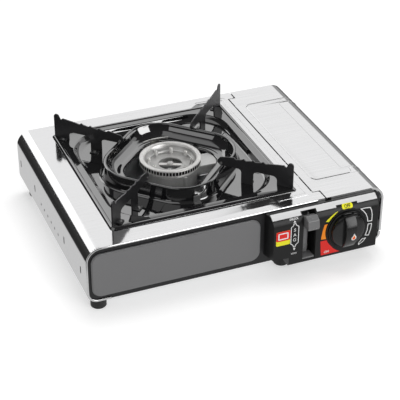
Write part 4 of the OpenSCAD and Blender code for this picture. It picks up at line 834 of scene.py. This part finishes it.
class STOVE_OT_tray(bpy.types.Operator):
    """Model the enamelled drip tray: rolled rim, flange, recess and floor"""
    bl_idname = "stove.tray"
    bl_label = "Drip Tray"

    def execute(self, context):
        sizes = context.scene.stove_sizes
        low, high = span("drip_tray")
        centre = (low + high) / 2
        half = (high - low) / 2
        rim, flange, slope = (v / MM for v in (sizes.rim_width, sizes.flange, sizes.slope))
        corner = sizes.recess_corner / MM
        z = TRAY_HEIGHTS
        steps = [(0.0, 5.0, z["flange"] - 0.9), (0.1, 5.0, z["flange"] - 0.75), (1.65, 4.6, z["bead"] - 0.3),
                 (2.0, 4.5, z["bead"] - 0.08), (2.6, 4.4, z["bead"]), (rim - 0.7, 4.2, z["bead"] - 0.1),
                 (rim, 4.0, z["flange"] + 0.15), (rim + 0.5, 3.8, z["flange"]),
                 (flange + 0.4, corner, z["flange"]), (flange + 2.6, corner + 1.0, z["floor"] + 2.2),
                 (flange + slope, corner + 3.0, z["floor"])]
        outlines = [rounded_outline("tray_outline", centre, (half.x - inset, half.y - inset), radius, height, ring=i)
                    for i, (inset, radius, height) in enumerate(steps)]
        foot = sizes.shield_half / MM - 4.0
        outlines.append(rounded_outline("tray_outline", centre, (foot, foot), sizes.shield_corner / MM - 4.0,
                                        z["floor"], 45.0, ring=len(steps)))
        tray = skinned("drip_tray_finished", outlines, filled=(len(steps) - 1,))
        round_ring(tray, len(steps) - 3, 1.3, 5)
        round_ring(tray, len(steps) - 2, 1.9, 5)
        round_ring(tray, len(steps) - 1, 1.8, 4)
        turn_out(tray, UP)
        apply_modifier(tray, "SOLIDIFY", thickness=sizes.tray_sheet, offset=-1.0, use_even_offset=False)
        smooth(tray, 40.0)
        dress(tray, "tray", "enamel_black", "drip_tray")
        return {"FINISHED"}


class STOVE_OT_shield(bpy.types.Operator):
    """Model the raised wind shield with its rolled lip, ledge and turned-down opening"""
    bl_idname = "stove.shield"
    bl_label = "Wind Shield"

    def execute(self, context):
        sizes = context.scene.stove_sizes
        low, high = span("drip_tray")
        centre = (low + high) / 2
        foot, corner = sizes.shield_half / MM, sizes.shield_corner / MM
        z = TRAY_HEIGHTS
        steps = [(foot + 1.6, corner + 1.0, z["floor"] + 0.05), (foot - 0.4, corner - 0.2, z["floor"] + 0.7),
                 (foot - 4.0, corner - 3.0, 89.0),
                 (foot - 3.3, corner - 2.4, 89.4), (foot - 3.1, corner - 2.4, 90.1), (foot - 3.6, corner - 2.7, 90.8),
                 (foot - 4.6, corner - 3.4, z["lip"]), (foot - 5.6, corner - 4.0, 90.8),
                 (foot - 6.3, corner - 4.4, 90.1), (foot - 6.5, corner - 4.6, 89.4),
                 (foot - 7.2, corner - 5.1, 87.2), (foot - 9.3, corner - 6.7, 83.2), (foot - 12.0, corner - 8.8, 79.9),
                 (foot - 14.2, corner - 10.6, 78.2), (foot - 16.8, corner - 12.6, 77.2),
                 (foot - 19.0, corner - 14.2, z["ledge"]), (foot - 22.2, corner - 16.4, z["ledge"] + 0.1),
                 (foot - 23.2, corner - 17.1, z["ledge"] - 0.5), (foot - 23.6, corner - 17.4, z["ledge"] - 2.2)]
        outlines = [rounded_outline("shield_outline", centre, (half, half), radius, height, 45.0, ring=i)
                    for i, (half, radius, height) in enumerate(steps)]
        shield = skinned("wind_shield_finished", outlines)
        round_ring(shield, 1, 2.2, 4)
        for ring in (10, 11, 12, 13):
            round_ring(shield, ring, 0.9, 2)
        turn_out(shield, UP)
        apply_modifier(shield, "SOLIDIFY", thickness=sizes.tray_sheet * 0.9, offset=-1.0, use_even_offset=False)
        smooth(shield, 50.0)
        dress(shield, "tray", "enamel_black", "wind_shield")
        return {"FINISHED"}


class STOVE_OT_supports(bpy.types.Operator):
    """Finish the four pan supports and what fastens them"""
    bl_idname = "stove.supports"
    bl_label = "Pan Supports"

    def execute(self, context):
        edge = context.scene.stove_sizes.support_edge
        for node in frame["nodes"]:
            if node.startswith("pan_support_"):
                softened(node, edge, 2, 25.0, flat=0.3)
        softened("tray_lugs", 0.5 * MM, 3, 30.0)
        return {"FINISHED"}


# ---------- burner ----------

class STOVE_OT_burner(bpy.types.Operator):
    """Turn the burner ring and finish the casting under it"""
    bl_idname = "stove.burner"
    bl_label = "Burner"

    def execute(self, context):
        sizes = context.scene.stove_sizes
        low, high = span("burner_ring")
        centre, top = (low + high) / 2, high.z
        inner, outer = sizes.ring_inner / MM, sizes.ring_outer / MM
        well = top - 9.0   # floor of the bowl
        section = [(outer, top - 1.1), (outer - 0.25, top - 0.35), (outer - 0.9, top), (inner + 1.2, top),
                   (inner + 0.35, top - 0.3), (inner - 0.2, top - 1.0), (inner - 0.6, top - 2.4),
                   (inner - 2.6, top - 5.2), (inner - 5.1, top - 6.4), (inner - 5.7, top - 7.2),
                   (inner - 5.9, well + 0.5), (inner - 6.5, well), (13.4, well), (12.9, well - 0.5),
                   (12.9, well - 2.0), (13.9, well - 2.2), (inner - 5.2, well - 1.2), (inner - 4.7, top - 8.2),
                   (inner - 0.6, top - 7.6),
                   (outer - 3.6, top - 7.5), (outer - 1.0, top - 7.4), (outer - 0.3, top - 7.1),
                   (outer - 0.2, top - 6.7), (outer - 0.45, top - 6.2), (outer - 0.45, top - 5.7),
                   (outer - 0.45, top - 1.6), (outer - 0.45, top - 1.4)]
        ring = turned("burner_ring_finished", section, (centre.x, centre.y), steps=180)
        # The second finish paints the shade inside the ports; the third paints the bowl darker as shade in its hollow.
        for finish in ("burner_alloy", "soot_black", "bowl_alloy"):
            ring.data.materials.append(bpy.data.materials[finish])

        def port(face):
            """Two steps of every three, in the row of ports."""
            spot = face.center / MM - centre
            around = math.degrees(math.atan2(spot.y, spot.x)) % 360.0
            return (abs(face.center.z / MM - (top - 3.65)) < 0.6 and math.hypot(spot.x, spot.y) > outer - 1.2
                    and int(around * 0.5 + 0.01) % 3 != 0)

        in_edit(ring, "FACE")
        select_faces(ring, port)
        bpy.ops.mesh.inset(thickness=0.06 * MM, depth=-1.4 * MM)
        out_of_edit()
        for face in ring.data.polygons:
            spot = face.center / MM - centre
            reach = math.hypot(spot.x, spot.y)
            # Painted shade: the port recesses get flat black for the shade inside them.
            if top - 5.9 < face.center.z / MM < top - 1.4 and outer - 2.6 < reach < outer - 0.6:
                face.material_index = 1
            # Painted shade: the bowl faces get a darker alloy colour for the shade in the hollow.
            elif reach < inner - 0.5:
                face.material_index = 2
        if not any(face.material_index for face in ring.data.polygons):
            raise RuntimeError("the burner ring has no ports")
        smooth(ring, 35.0)
        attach(ring, "case")
        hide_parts("burner_ring")
        # Posts that stand round the inside of the bowl.
        post = turned("bowl_post", [(0.0, well), (2.1, well), (1.9, top - 6.0), (1.9, top - 3.3),
                                    (1.6, top - 2.7), (1.0, top - 2.5), (0.9, top - 3.4), (0.0, top - 3.4)],
                      (centre.x + inner - 5.6, centre.y), steps=20)
        smooth(post, 40.0)
        for index in range(8):
            copy = post.copy()
            copy.data = post.data.copy()
            copy.name = f"bowl_post_{index + 1}"
            bpy.context.scene.collection.objects.link(copy)
            pick(copy)
            place_here()
            turn = math.radians(22.0 + 45.0 * index)
            for vertex in copy.data.vertices:
                x, y = vertex.co.x - centre.x * MM, vertex.co.y - centre.y * MM
                vertex.co.x = centre.x * MM + x * math.cos(turn) - y * math.sin(turn)
                vertex.co.y = centre.y * MM + x * math.sin(turn) + y * math.cos(turn)
            dress(copy, "case", "burner_alloy")
        pick(post)
        bpy.ops.object.delete()
        # Bar across the hole, with the screw in its middle.
        clear_selection()
        bpy.ops.mesh.primitive_cube_add(size=1.0, location=(centre.x * MM, centre.y * MM, (well - 1.6) * MM),
                                        rotation=(0.0, 0.0, math.radians(-25.0)),
                                        scale=(27.0 * MM, 5.0 * MM, 1.6 * MM))
        bar = bpy.context.object
        bar.name = "bowl_bar"
        place_here()
        edged(bar, 0.6 * MM, 3, 40.0)
        smooth(bar, 40.0)
        dress(bar, "case", "burner_alloy")
        screw = turned("bowl_screw", [(0.0, well - 0.9), (3.6, well - 0.9), (3.6, well + 0.3), (3.1, well + 1.1),
                                      (2.0, well + 1.6), (1.2, well + 1.7), (1.1, well + 0.9), (0.0, well + 0.9)],
                       (centre.x, centre.y), steps=32)
        smooth(screw, 40.0)
        dress(screw, "case", "burner_alloy")
        softened("burner_body", 0.15 * MM, 1, 40.0, flat=0.2)
        guard = softened("electrode_guard", 0.25 * MM, 2, 30.0, flat=0.3)
        clear = 42.5   # the guard's top is held this far from the burner's axis
        for vertex in guard.data.vertices:
            x, y = vertex.co.x / MM - centre.x, vertex.co.y / MM - centre.y
            reach = math.hypot(x, y)
            if vertex.co.z / MM > TOP and 30.0 < reach < clear:
                vertex.co.x = (centre.x + x * clear / reach) * MM
                vertex.co.y = (centre.y + y * clear / reach) * MM
        return {"FINISHED"}


# ---------- controls ----------

# Places on the bezel's face, as (x, z) in millimetres from the stove's origin.
DIAL = (117.0, 47.0)
# Outline of the knob's flame mark, round the mark's own middle.
FLAME = ((0.0, 4.9), (1.3, 2.9), (2.5, 0.9), (2.9, -1.2), (2.2, -3.2), (0.6, -4.3), (-1.2, -4.2), (-2.5, -3.0),
         (-2.9, -1.2), (-2.2, 0.6), (-1.0, 2.4))


def bezel_face():
    """Place of the bezel's flat face and of the round along its top edge."""
    low, high = span("control_bezel")
    return low.y + 1.2, high.z, 13.0


def face_at(z):
    """How far forward the bezel's face is at a height."""
    face, top, bend = bezel_face()
    rise = z - (top - bend)
    if rise <= 0:
        return face
    return face + bend - math.sqrt(max(bend * bend - rise * rise, 0.0))


def ink(points, name, colour_name, stroke=0.0, lift=0.0):
    """A printed mark: a filled outline, or its stroke, laid on the bezel's face."""
    mark = drawn(name, [(x, 0.0, z) for x, z in points])
    if stroke:
        edit_all(mark, "FACE")
        bpy.ops.mesh.inset(thickness=stroke * MM, use_even_offset=True)
        bpy.ops.mesh.delete(type="FACE")
        out_of_edit()
    return lay_on(mark, lift, colour_name)


def finely_cut(mark):
    """Gives a flat mark the points that it needs to follow a curve."""
    edit_all(mark)
    bpy.ops.mesh.quads_convert_to_tris()
    bpy.ops.mesh.subdivide(number_cuts=3)
    out_of_edit()


def lay_on(mark, lift, colour_name):
    """Bends a flat mark over the bezel's face and gives it its thickness."""
    _, top, bend = bezel_face()
    if max(vertex.co.z for vertex in mark.data.vertices) > (top - bend) * MM:
        finely_cut(mark)
    for vertex in mark.data.vertices:
        vertex.co.y = (face_at(vertex.co.z / MM) - 0.03 - lift) * MM
    turn_out(mark, FORWARD)
    apply_modifier(mark, "SOLIDIFY", thickness=bpy.context.scene.stove_sizes.mark_height, offset=1.0)
    return dress(mark, "case", "bezel_black", material=colour_name)


def lettering(text, name, colour_name, centre, size, lean=0.0, lift=0.0, weight=0.0):
    """Printed capitals on the bezel."""
    clear_selection()
    bpy.ops.object.text_add()
    words = bpy.context.object
    words.name = name
    words.data.body = text
    words.data.align_x, words.data.align_y = "CENTER", "CENTER"
    words.data.size = size * MM
    words.data.shear = lean
    words.data.offset = weight * MM
    words.data.resolution_u = 3
    bpy.ops.object.convert(target="MESH")
    words = bpy.context.object
    words.location = (centre[0] * MM, 0.0, centre[1] * MM)
    words.rotation_euler = (math.radians(90.0), 0.0, 0.0)
    place_here()
    return lay_on(words, lift, colour_name)


def bow(radius_from, radius_to, turn_from, turn_to, count=12):
    """Points along an arc round the dial whose radius may grow."""
    points = []
    for step in range(count + 1):
        share = step / count
        radius = radius_from + (radius_to - radius_from) * share
        turn = math.radians(turn_from + (turn_to - turn_from) * share)
        points.append((DIAL[0] + radius * math.cos(turn), DIAL[1] + radius * math.sin(turn)))
    return points


def rounded_points(x0, x1, z0, z1, radius, count=5):
    """Corner points of a rectangle with rounded corners."""
    points = []
    for cx, cz, start in ((x1 - radius, z1 - radius, 0), (x0 + radius, z1 - radius, 90),
                          (x0 + radius, z0 + radius, 180), (x1 - radius, z0 + radius, 270)):
        for step in range(count + 1):
            turn = math.radians(start + 90.0 * step / count)
            points.append((cx + radius * math.cos(turn), cz + radius * math.sin(turn)))
    return points


class STOVE_OT_bezel(bpy.types.Operator):
    """Finish the moulded control bezel"""
    bl_idname = "stove.bezel"
    bl_label = "Control Bezel"

    def execute(self, context):
        sizes = context.scene.stove_sizes
        softened("control_bezel", sizes.bezel_edge, 2, 24.0)
        self.band()
        self.slot_back()
        tab = softened("lever_tab", sizes.lever_edge, 3, 20.0)
        middle, shorter = 62.0, 2.6   # the tab's lower end is taken up a little
        for vertex in tab.data.vertices:
            if vertex.co.z < middle * MM:
                vertex.co.z += shorter * MM
        return {"FINISHED"}

    def band(self):
        """Silver band along the rounded top edge, cut out over the OFF patch and the lever's slot."""
        face, top, bend = bezel_face()
        # Its ends in millimetres, and the degrees of turn round the edge between which it lies.
        left, right, low, high = 31.2, 154.8, 45.0, 80.0
        clear_selection()
        bpy.ops.mesh.primitive_grid_add(x_subdivisions=103, y_subdivisions=14, size=1.0)
        band = bpy.context.object
        band.name = "bezel_band_finished"
        for vertex in band.data.vertices:
            vertex.co = Vector((left + (vertex.co.x + 0.5) * (right - left),
                                low + (vertex.co.y + 0.5) * (high - low), 0))
        in_edit(band, "FACE")
        select_faces(band, lambda f: (105.6 < f.center.x < 131.0 and f.center.y < 55.0)
                     or (64.8 < f.center.x < 82.2 and f.center.y < 65.0))
        bpy.ops.mesh.delete(type="FACE")
        out_of_edit()
        for vertex in band.data.vertices:
            x, turn = vertex.co.x, math.radians(vertex.co.y)
            vertex.co = Vector((x, face + bend - (bend + 0.05) * math.cos(turn),
                                top - bend + (bend + 0.05) * math.sin(turn))) * MM
        turn_out(band, UP)
        apply_modifier(band, "SOLIDIFY", thickness=0.18 * MM, offset=1.0)
        smooth(band, 40.0)
        dress(band, "case", "band_silver", "bezel_band")

    def slot_back(self):
        """Dark guide behind the lever's slot, with a paler runner at its right."""
        guide = plate("slot_guide", [(64.4, 17.6), (76.6, 17.6), (76.6, 76.2), (64.4, 76.2)], -118.6, -117.2)
        apply_modifier(guide, "BEVEL", width=0.3 * MM, segments=2)
        dress(guide, "case", "plate_black")
        runner = plate("slot_runner", [(71.2, 21.0), (76.2, 21.0), (76.2, 57.0), (71.2, 57.0)], -121.4, -118.6)
        sill = plate("slot_sill", [(66.3, 18.1), (80.7, 18.1), (80.7, 20.2), (66.3, 20.2)], -130.6, -118.6)
        for piece in (runner, sill):
            edged(piece, 0.5 * MM)
            smooth(piece, 40.0)
            dress(piece, "case", "lever_grey")


class STOVE_OT_marks(bpy.types.Operator):
    """Print the dial's marks, the lock marks and the plain patch on the bezel"""
    bl_idname = "stove.marks"
    bl_label = "Dial Marks"

    def execute(self, context):
        inner = 24.8
        ink(bow(inner, inner, 114, 149) + bow(28.3, 25.2, 151, 115), "mark_low", "ink_yellow")
        ink(bow(inner, inner, 155, 200) + [(87.4, 39.2), (88.0, 44.0), (89.2, 51.0), (90.9, 57.2)],
            "mark_middle", "ink_orange")
        ink(bow(inner, 25.6, 204, 228) + bow(26.0, 29.0, 232, 258) + [(88.4, 18.4), (86.9, 36.9)],
            "mark_on_patch", "ink_red")
        lettering("ON", "mark_on", "ink_white", (94.6, 21.7), 3.9, 0.15, 0.08, 0.08)
        ink([(132.8, 67.4), (139.0, 67.5), (145.3, 66.9), (147.2, 62.8), (148.4, 57.0), (148.5, 48.4), (142.7, 49.0),
             (142.0, 54.0), (139.9, 59.0), (136.6, 63.6)], "mark_block_one", "ink_white", 0.9)
        ink([(143.3, 46.1), (148.6, 45.6), (148.0, 38.5), (145.7, 30.4), (140.7, 31.4), (142.8, 38.2)],
            "mark_block_two", "ink_white", 0.9)
        ink([(137.5, 28.2), (142.8, 28.4), (139.4, 24.0), (133.6, 20.6), (133.4, 23.2)],
            "mark_block_three", "ink_white", 0.8)
        ink(rounded_points(112.0, 124.8, 70.4, 75.2, 2.2), "mark_off_patch", "ink_yellow", lift=0.12)
        lettering("OFF", "mark_off", "ink_black", (118.4, 72.8), 4.2, 0.0, 0.26, 0.09)
        # Plain patch with a white frame and a strip below it.
        ink(rounded_points(34.3, 50.6, 43.2, 61.0, 1.6), "patch_strip", "ink_yellow", lift=0.02)
        ink(rounded_points(34.3, 50.6, 48.8, 61.0, 1.6), "patch_field", "ink_red", lift=0.12)
        ink(rounded_points(36.6, 48.4, 50.6, 58.8, 1.2), "patch_frame", "ink_white", 1.3, lift=0.22)
        # Cartridge sign between the two lock words.
        ink([(54.2, 67.6), (57.0, 67.6), (57.6, 65.6), (60.7, 63.4), (60.7, 42.6), (57.7, 40.0), (57.0, 37.4),
             (54.6, 37.4), (54.0, 40.0), (51.2, 42.6), (51.2, 63.4), (53.8, 65.6)], "sign_cartridge", "ink_white", 0.8)
        for letter, z in (("S", 59.0), ("A", 52.9), ("G", 46.8)):
            lettering(letter, "sign_letter_" + letter.lower(), "ink_white", (55.95, z), 5.6, 0.0, 0.0, 0.06)
        ink([(54.3, 68.4), (57.3, 68.4), (55.8, 70.6)], "sign_arrow_up", "ink_white")
        ink([(54.4, 36.2), (57.4, 36.2), (55.9, 33.6)], "sign_arrow_down", "ink_white")
        lettering("UNLOCK", "word_unlock", "ink_white", (55.2, 71.9), 2.5, 0.0, 0.0, 0.05)
        lettering("LOCK", "word_lock", "ink_white", (55.9, 29.6), 2.5, 0.0, 0.0, 0.05)
        return {"FINISHED"}


class STOVE_OT_knob(bpy.types.Operator):
    """Model the control knob: disc, dished body and domed grip"""
    bl_idname = "stove.knob"
    bl_label = "Control Knob"

    def execute(self, context):
        sizes = context.scene.stove_sizes
        low, high = span("control_knob")
        x, z = (low.x + high.x) / 2, (low.z + high.z) / 2
        back, front = high.y, low.y + 0.3
        radius = sizes.knob_radius / MM
        body = radius - 2.6
        knob = turned("control_knob_finished",
                      [(0.0, back), (radius - 0.3, back), (radius, back - 0.4), (radius, back - 1.3),
                       (radius - 0.35, back - 1.85), (radius - 0.9, back - 1.95), (radius - 1.3, back - 1.6),
                       (radius - 2.2, back - 1.4), (body, back - 1.6), (body - 0.1, back - 5.0),
                       (body - 0.45, back - 5.9), (body - 1.1, back - 6.3), (body - 4.0, back - 6.9),
                       (body - 9.0, back - 7.7), (body - 14.0, back - 8.2), (0.0, back - 8.4)], (x, z), False)
        smooth(knob, 38.0)
        # Grip: a slice of a wide drum, so its front is domed from top to bottom.
        chord, rise = body - 0.1, 7.5
        drum = (chord * chord + rise * rise) / (2.0 * rise)
        clear_selection()
        bpy.ops.mesh.primitive_cylinder_add(vertices=144, radius=drum * MM, depth=sizes.grip_width,
                                            location=(x * MM, (front + drum) * MM, z * MM),
                                            rotation=(0.0, math.radians(90.0), 0.0))
        grip = bpy.context.object
        place_here()
        sliced(grip, (0.0, back - 1.6, 0.0), (0, 1, 0), fill=True)
        sliced(grip, (0.0, 0.0, z + chord), (0, 0, 1), fill=True)
        sliced(grip, (0.0, 0.0, z - chord), (0, 0, -1), fill=True)
        turn_out(grip)
        edged(grip, 0.8 * MM, 4)
        smooth(grip, 35.0)
        pick(knob, grip)
        bpy.ops.object.join()
        dress(knob, "knob", "knob_black", "control_knob")
        # Flame mark near the grip's lower end.
        for name, ink_name, size, drop, lift in (("mark_flame_edge", "ink_white", 1.0, 0.0, 0.05),
                                                 ("mark_flame", "ink_orange", 0.66, -0.4, 0.12),
                                                 ("mark_flame_core", "ink_red", 0.36, -0.9, 0.19)):
            mark = drawn(name, [(x + 2.3 + px * size, 0.0, z - 3.7 + drop + pz * size * 0.95) for px, pz in FLAME])
            finely_cut(mark)
            for vertex in mark.data.vertices:
                rise_here = math.sqrt(max(drum * drum - (vertex.co.z / MM - z) ** 2, 0.0))
                vertex.co.y = (front + drum - rise_here - lift) * MM
            turn_out(mark, FORWARD)
            apply_modifier(mark, "SOLIDIFY", thickness=sizes.mark_height, offset=1.0)
            dress(mark, "knob", "knob_black", material=ink_name)
        return {"FINISHED"}


# ---------- studio ----------

CAMERA = {"place": (-0.460674, -1.147035, 0.810120), "aim": (-0.00334, -0.01042, 0.04005)}

# Softboxes and walls as the polished metal sees them: turn from the back, half width,
# lowest and highest elevation, softness (all in degrees) and brightness.
WALLS = (
    ("back wall", 35.0, 50.0, 24.0, 42.0, 10.0, 1.06),
    ("back left wall", -18.0, 18.0, 19.0, 35.5, 1.5, 1.6),
    ("back right foot", 48.0, 30.0, 0.0, 15.0, 4.0, 0.38),
    ("right side", 92.0, 10.0, 12.0, 30.0, 3.0, 0.6),
    ("front right box", 145.0, 17.0, 2.0, 38.0, 3.0, 4.0),
    ("left window", -116.0, 12.0, 12.0, 28.0, 3.0, 0.8),
    ("left ceiling", -95.0, 50.0, 46.0, 74.0, 8.0, 0.55),
)


class STOVE_OT_studio(bpy.types.Operator):
    """Set the floor, the lamps, the surroundings and the camera"""
    bl_idname = "stove.studio"
    bl_label = "Studio"

    def execute(self, context):
        settings = context.scene.stove_studio
        scene = context.scene
        scene.view_settings.view_transform = "Standard"
        self.floor(settings)
        self.surroundings(scene, settings)
        self.lamp("Key", (0.3, 0.55, 2.2), 1.3, settings.key)
        self.lamp("Fill", (0.2, -2.0, 1.1), 1.4, settings.fill)
        self.camera(scene, settings)
        return {"FINISHED"}

    def floor(self, settings):
        clear_selection()
        bpy.ops.mesh.primitive_plane_add(size=8.0, location=(0.0, 0.0, 0.0))
        floor = bpy.context.object
        floor.name = "studio_floor"
        edit_all(floor, "FACE")
        bpy.ops.mesh.subdivide(number_cuts=7)
        out_of_edit()
        material = bpy.data.materials.new("studio_floor")
        material.use_nodes = True
        tree = material.node_tree
        tree.nodes.clear()
        base = tuple(settings.floor)
        path = add(tree, "ShaderNodeLightPath").outputs
        where = add(tree, "ShaderNodeTexCoord").outputs["Object"]
        mirrored = calc(tree, "MAXIMUM", path["Is Glossy Ray"], path["Is Transmission Ray"])
        plain = add(tree, "ShaderNodeVectorMath", {0: base, "Scale": calc(tree, "SUBTRACT", 1.0, mirrored)},
                    operation="SCALE").outputs["Vector"]
        matt = add(tree, "ShaderNodeBsdfDiffuse", {"Color": plain}).outputs["BSDF"]
        far = add(tree, "ShaderNodeVectorMath", {0: where}, operation="LENGTH").outputs["Value"]
        lit = 1.0 - base[0] * 0.80
        # Polished metal sees the floor bright round the stove and darker to its left, its right and far off.
        side = add(tree, "ShaderNodeSeparateXYZ", {"Vector": where}).outputs["X"]
        near = remap(tree, side, -0.245, -0.225, 0.03, 0.66, True)
        glow = calc(tree, "MINIMUM", calc(tree, "MINIMUM", near, remap(tree, side, 0.20, 0.36, 0.66, 0.30, True)),
                    remap(tree, far, 0.30, 0.8, 0.66, 0.10, True))
        seen = calc(tree, "MAXIMUM", calc(tree, "MULTIPLY", path["Is Camera Ray"], lit),
                    calc(tree, "MULTIPLY", mirrored, glow))
        shine = add(tree, "ShaderNodeEmission", {"Color": (1, 1, 1, 1), "Strength": seen}).outputs["Emission"]
        both = add(tree, "ShaderNodeAddShader", {0: matt, 1: shine}).outputs["Shader"]
        add(tree, "ShaderNodeOutputMaterial", {"Surface": both})
        floor.data.materials.append(material)

    def surroundings(self, scene, settings):
        world = bpy.data.worlds.new("studio")
        scene.world = world
        world.use_nodes = True
        tree = world.node_tree
        tree.nodes.clear()
        path = add(tree, "ShaderNodeLightPath").outputs
        way = add(tree, "ShaderNodeTexCoord").outputs["Generated"]
        parts = add(tree, "ShaderNodeSeparateXYZ", {"Vector": way}).outputs
        height = calc(tree, "MULTIPLY", calc(tree, "ARCSINE", parts["Z"]), PER_RADIAN)
        glow = remap(tree, height, 0.0, 90.0, 0.04, 0.07)
        for _, turn, half, low, high, soft, strength in WALLS:
            sine, cosine = math.sin(math.radians(turn)), math.cos(math.radians(turn))
            across = add(tree, "ShaderNodeVectorMath", {0: way, 1: (cosine, -sine, 0.0)},
                         operation="DOT_PRODUCT").outputs["Value"]
            along = add(tree, "ShaderNodeVectorMath", {0: way, 1: (sine, cosine, 0.0)},
                        operation="DOT_PRODUCT").outputs["Value"]
            away = calc(tree, "ABSOLUTE", calc(tree, "MULTIPLY", calc(tree, "ARCTAN2", across, along), PER_RADIAN))
            mask = calc(tree, "MULTIPLY", remap(tree, away, half, half + soft, 1.0, 0.0, True),
                        calc(tree, "MULTIPLY", remap(tree, height, low - soft, low, 0.0, 1.0, True),
                             remap(tree, height, high, high + soft, 1.0, 0.0, True)))
            glow = calc(tree, "MAXIMUM", glow, calc(tree, "MULTIPLY", mask, strength))
        sheen = calc(tree, "MULTIPLY", path["Is Glossy Ray"], glow)
        plain = calc(tree, "MULTIPLY", calc(tree, "SUBTRACT", 1.0, calc(tree, "MAXIMUM", path["Is Glossy Ray"],
                     path["Is Camera Ray"])), settings.sky)
        clear = calc(tree, "ADD", path["Is Camera Ray"], calc(tree, "ADD", sheen, plain))
        light = add(tree, "ShaderNodeBackground", {"Color": (1, 1, 1, 1), "Strength": clear}).outputs["Background"]
        add(tree, "ShaderNodeOutputWorld", {"Surface": light})

    def lamp(self, name, place, size, power):
        clear_selection()
        bpy.ops.object.light_add(type="AREA", location=place)
        lamp = bpy.context.object
        lamp.name = name
        lamp.data.shape = "SQUARE"
        lamp.data.size = size
        lamp.data.energy = power
        lamp.rotation_euler = (Vector((0.0, 0.0, 0.04)) - Vector(place)).to_track_quat("-Z", "Y").to_euler()
        lamp.visible_glossy = False
        lamp.visible_camera = False

    def camera(self, scene, settings):
        clear_selection()
        bpy.ops.object.camera_add(location=CAMERA["place"])
        camera = bpy.context.object
        camera.rotation_euler = (Vector(CAMERA["aim"]) - camera.location).to_track_quat("-Z", "Y").to_euler()
        camera.data.lens = settings.lens
        camera.data.sensor_width = 36.0
        camera.data.clip_start = 0.01
        camera.data.clip_end = 50.0
        scene.camera = camera


OPERATORS = (STOVE_OT_finishes, STOVE_OT_case, STOVE_OT_bead, STOVE_OT_creases,
             STOVE_OT_feet, STOVE_OT_tray, STOVE_OT_shield, STOVE_OT_supports,
             STOVE_OT_burner, STOVE_OT_bezel, STOVE_OT_marks, STOVE_OT_knob, STOVE_OT_studio)


class STOVE_PT_panel(bpy.types.Panel):
    """Sizes, colours and steps of the stove"""
    bl_idname = "STOVE_PT_panel"
    bl_label = "Camping Stove"
    bl_space_type = "VIEW_3D"
    bl_region_type = "UI"
    bl_category = "Stove"

    def draw(self, context):
        layout = self.layout
        for operator in OPERATORS:
            layout.operator(operator.bl_idname)
        for settings in (context.scene.stove_sizes, context.scene.stove_colours, context.scene.stove_studio):
            box = layout.box()
            for name in settings.__annotations__:
                box.prop(settings, name)


CLASSES = (StoveSizes, StoveColours, StudioSettings, *OPERATORS, STOVE_PT_panel)


def register():
    for cls in CLASSES:
        bpy.utils.register_class(cls)
    bpy.types.Scene.stove_sizes = bpy.props.PointerProperty(type=StoveSizes)
    bpy.types.Scene.stove_colours = bpy.props.PointerProperty(type=StoveColours)
    bpy.types.Scene.stove_studio = bpy.props.PointerProperty(type=StudioSettings)


def unregister():
    del bpy.types.Scene.stove_studio
    del bpy.types.Scene.stove_colours
    del bpy.types.Scene.stove_sizes
    for cls in reversed(CLASSES):
        bpy.utils.unregister_class(cls)


def main():
    register()
    for operator in OPERATORS:
        group, name = operator.bl_idname.split(".")
        getattr(getattr(bpy.ops, group), name)()


if __name__ == "__main__":
    main()
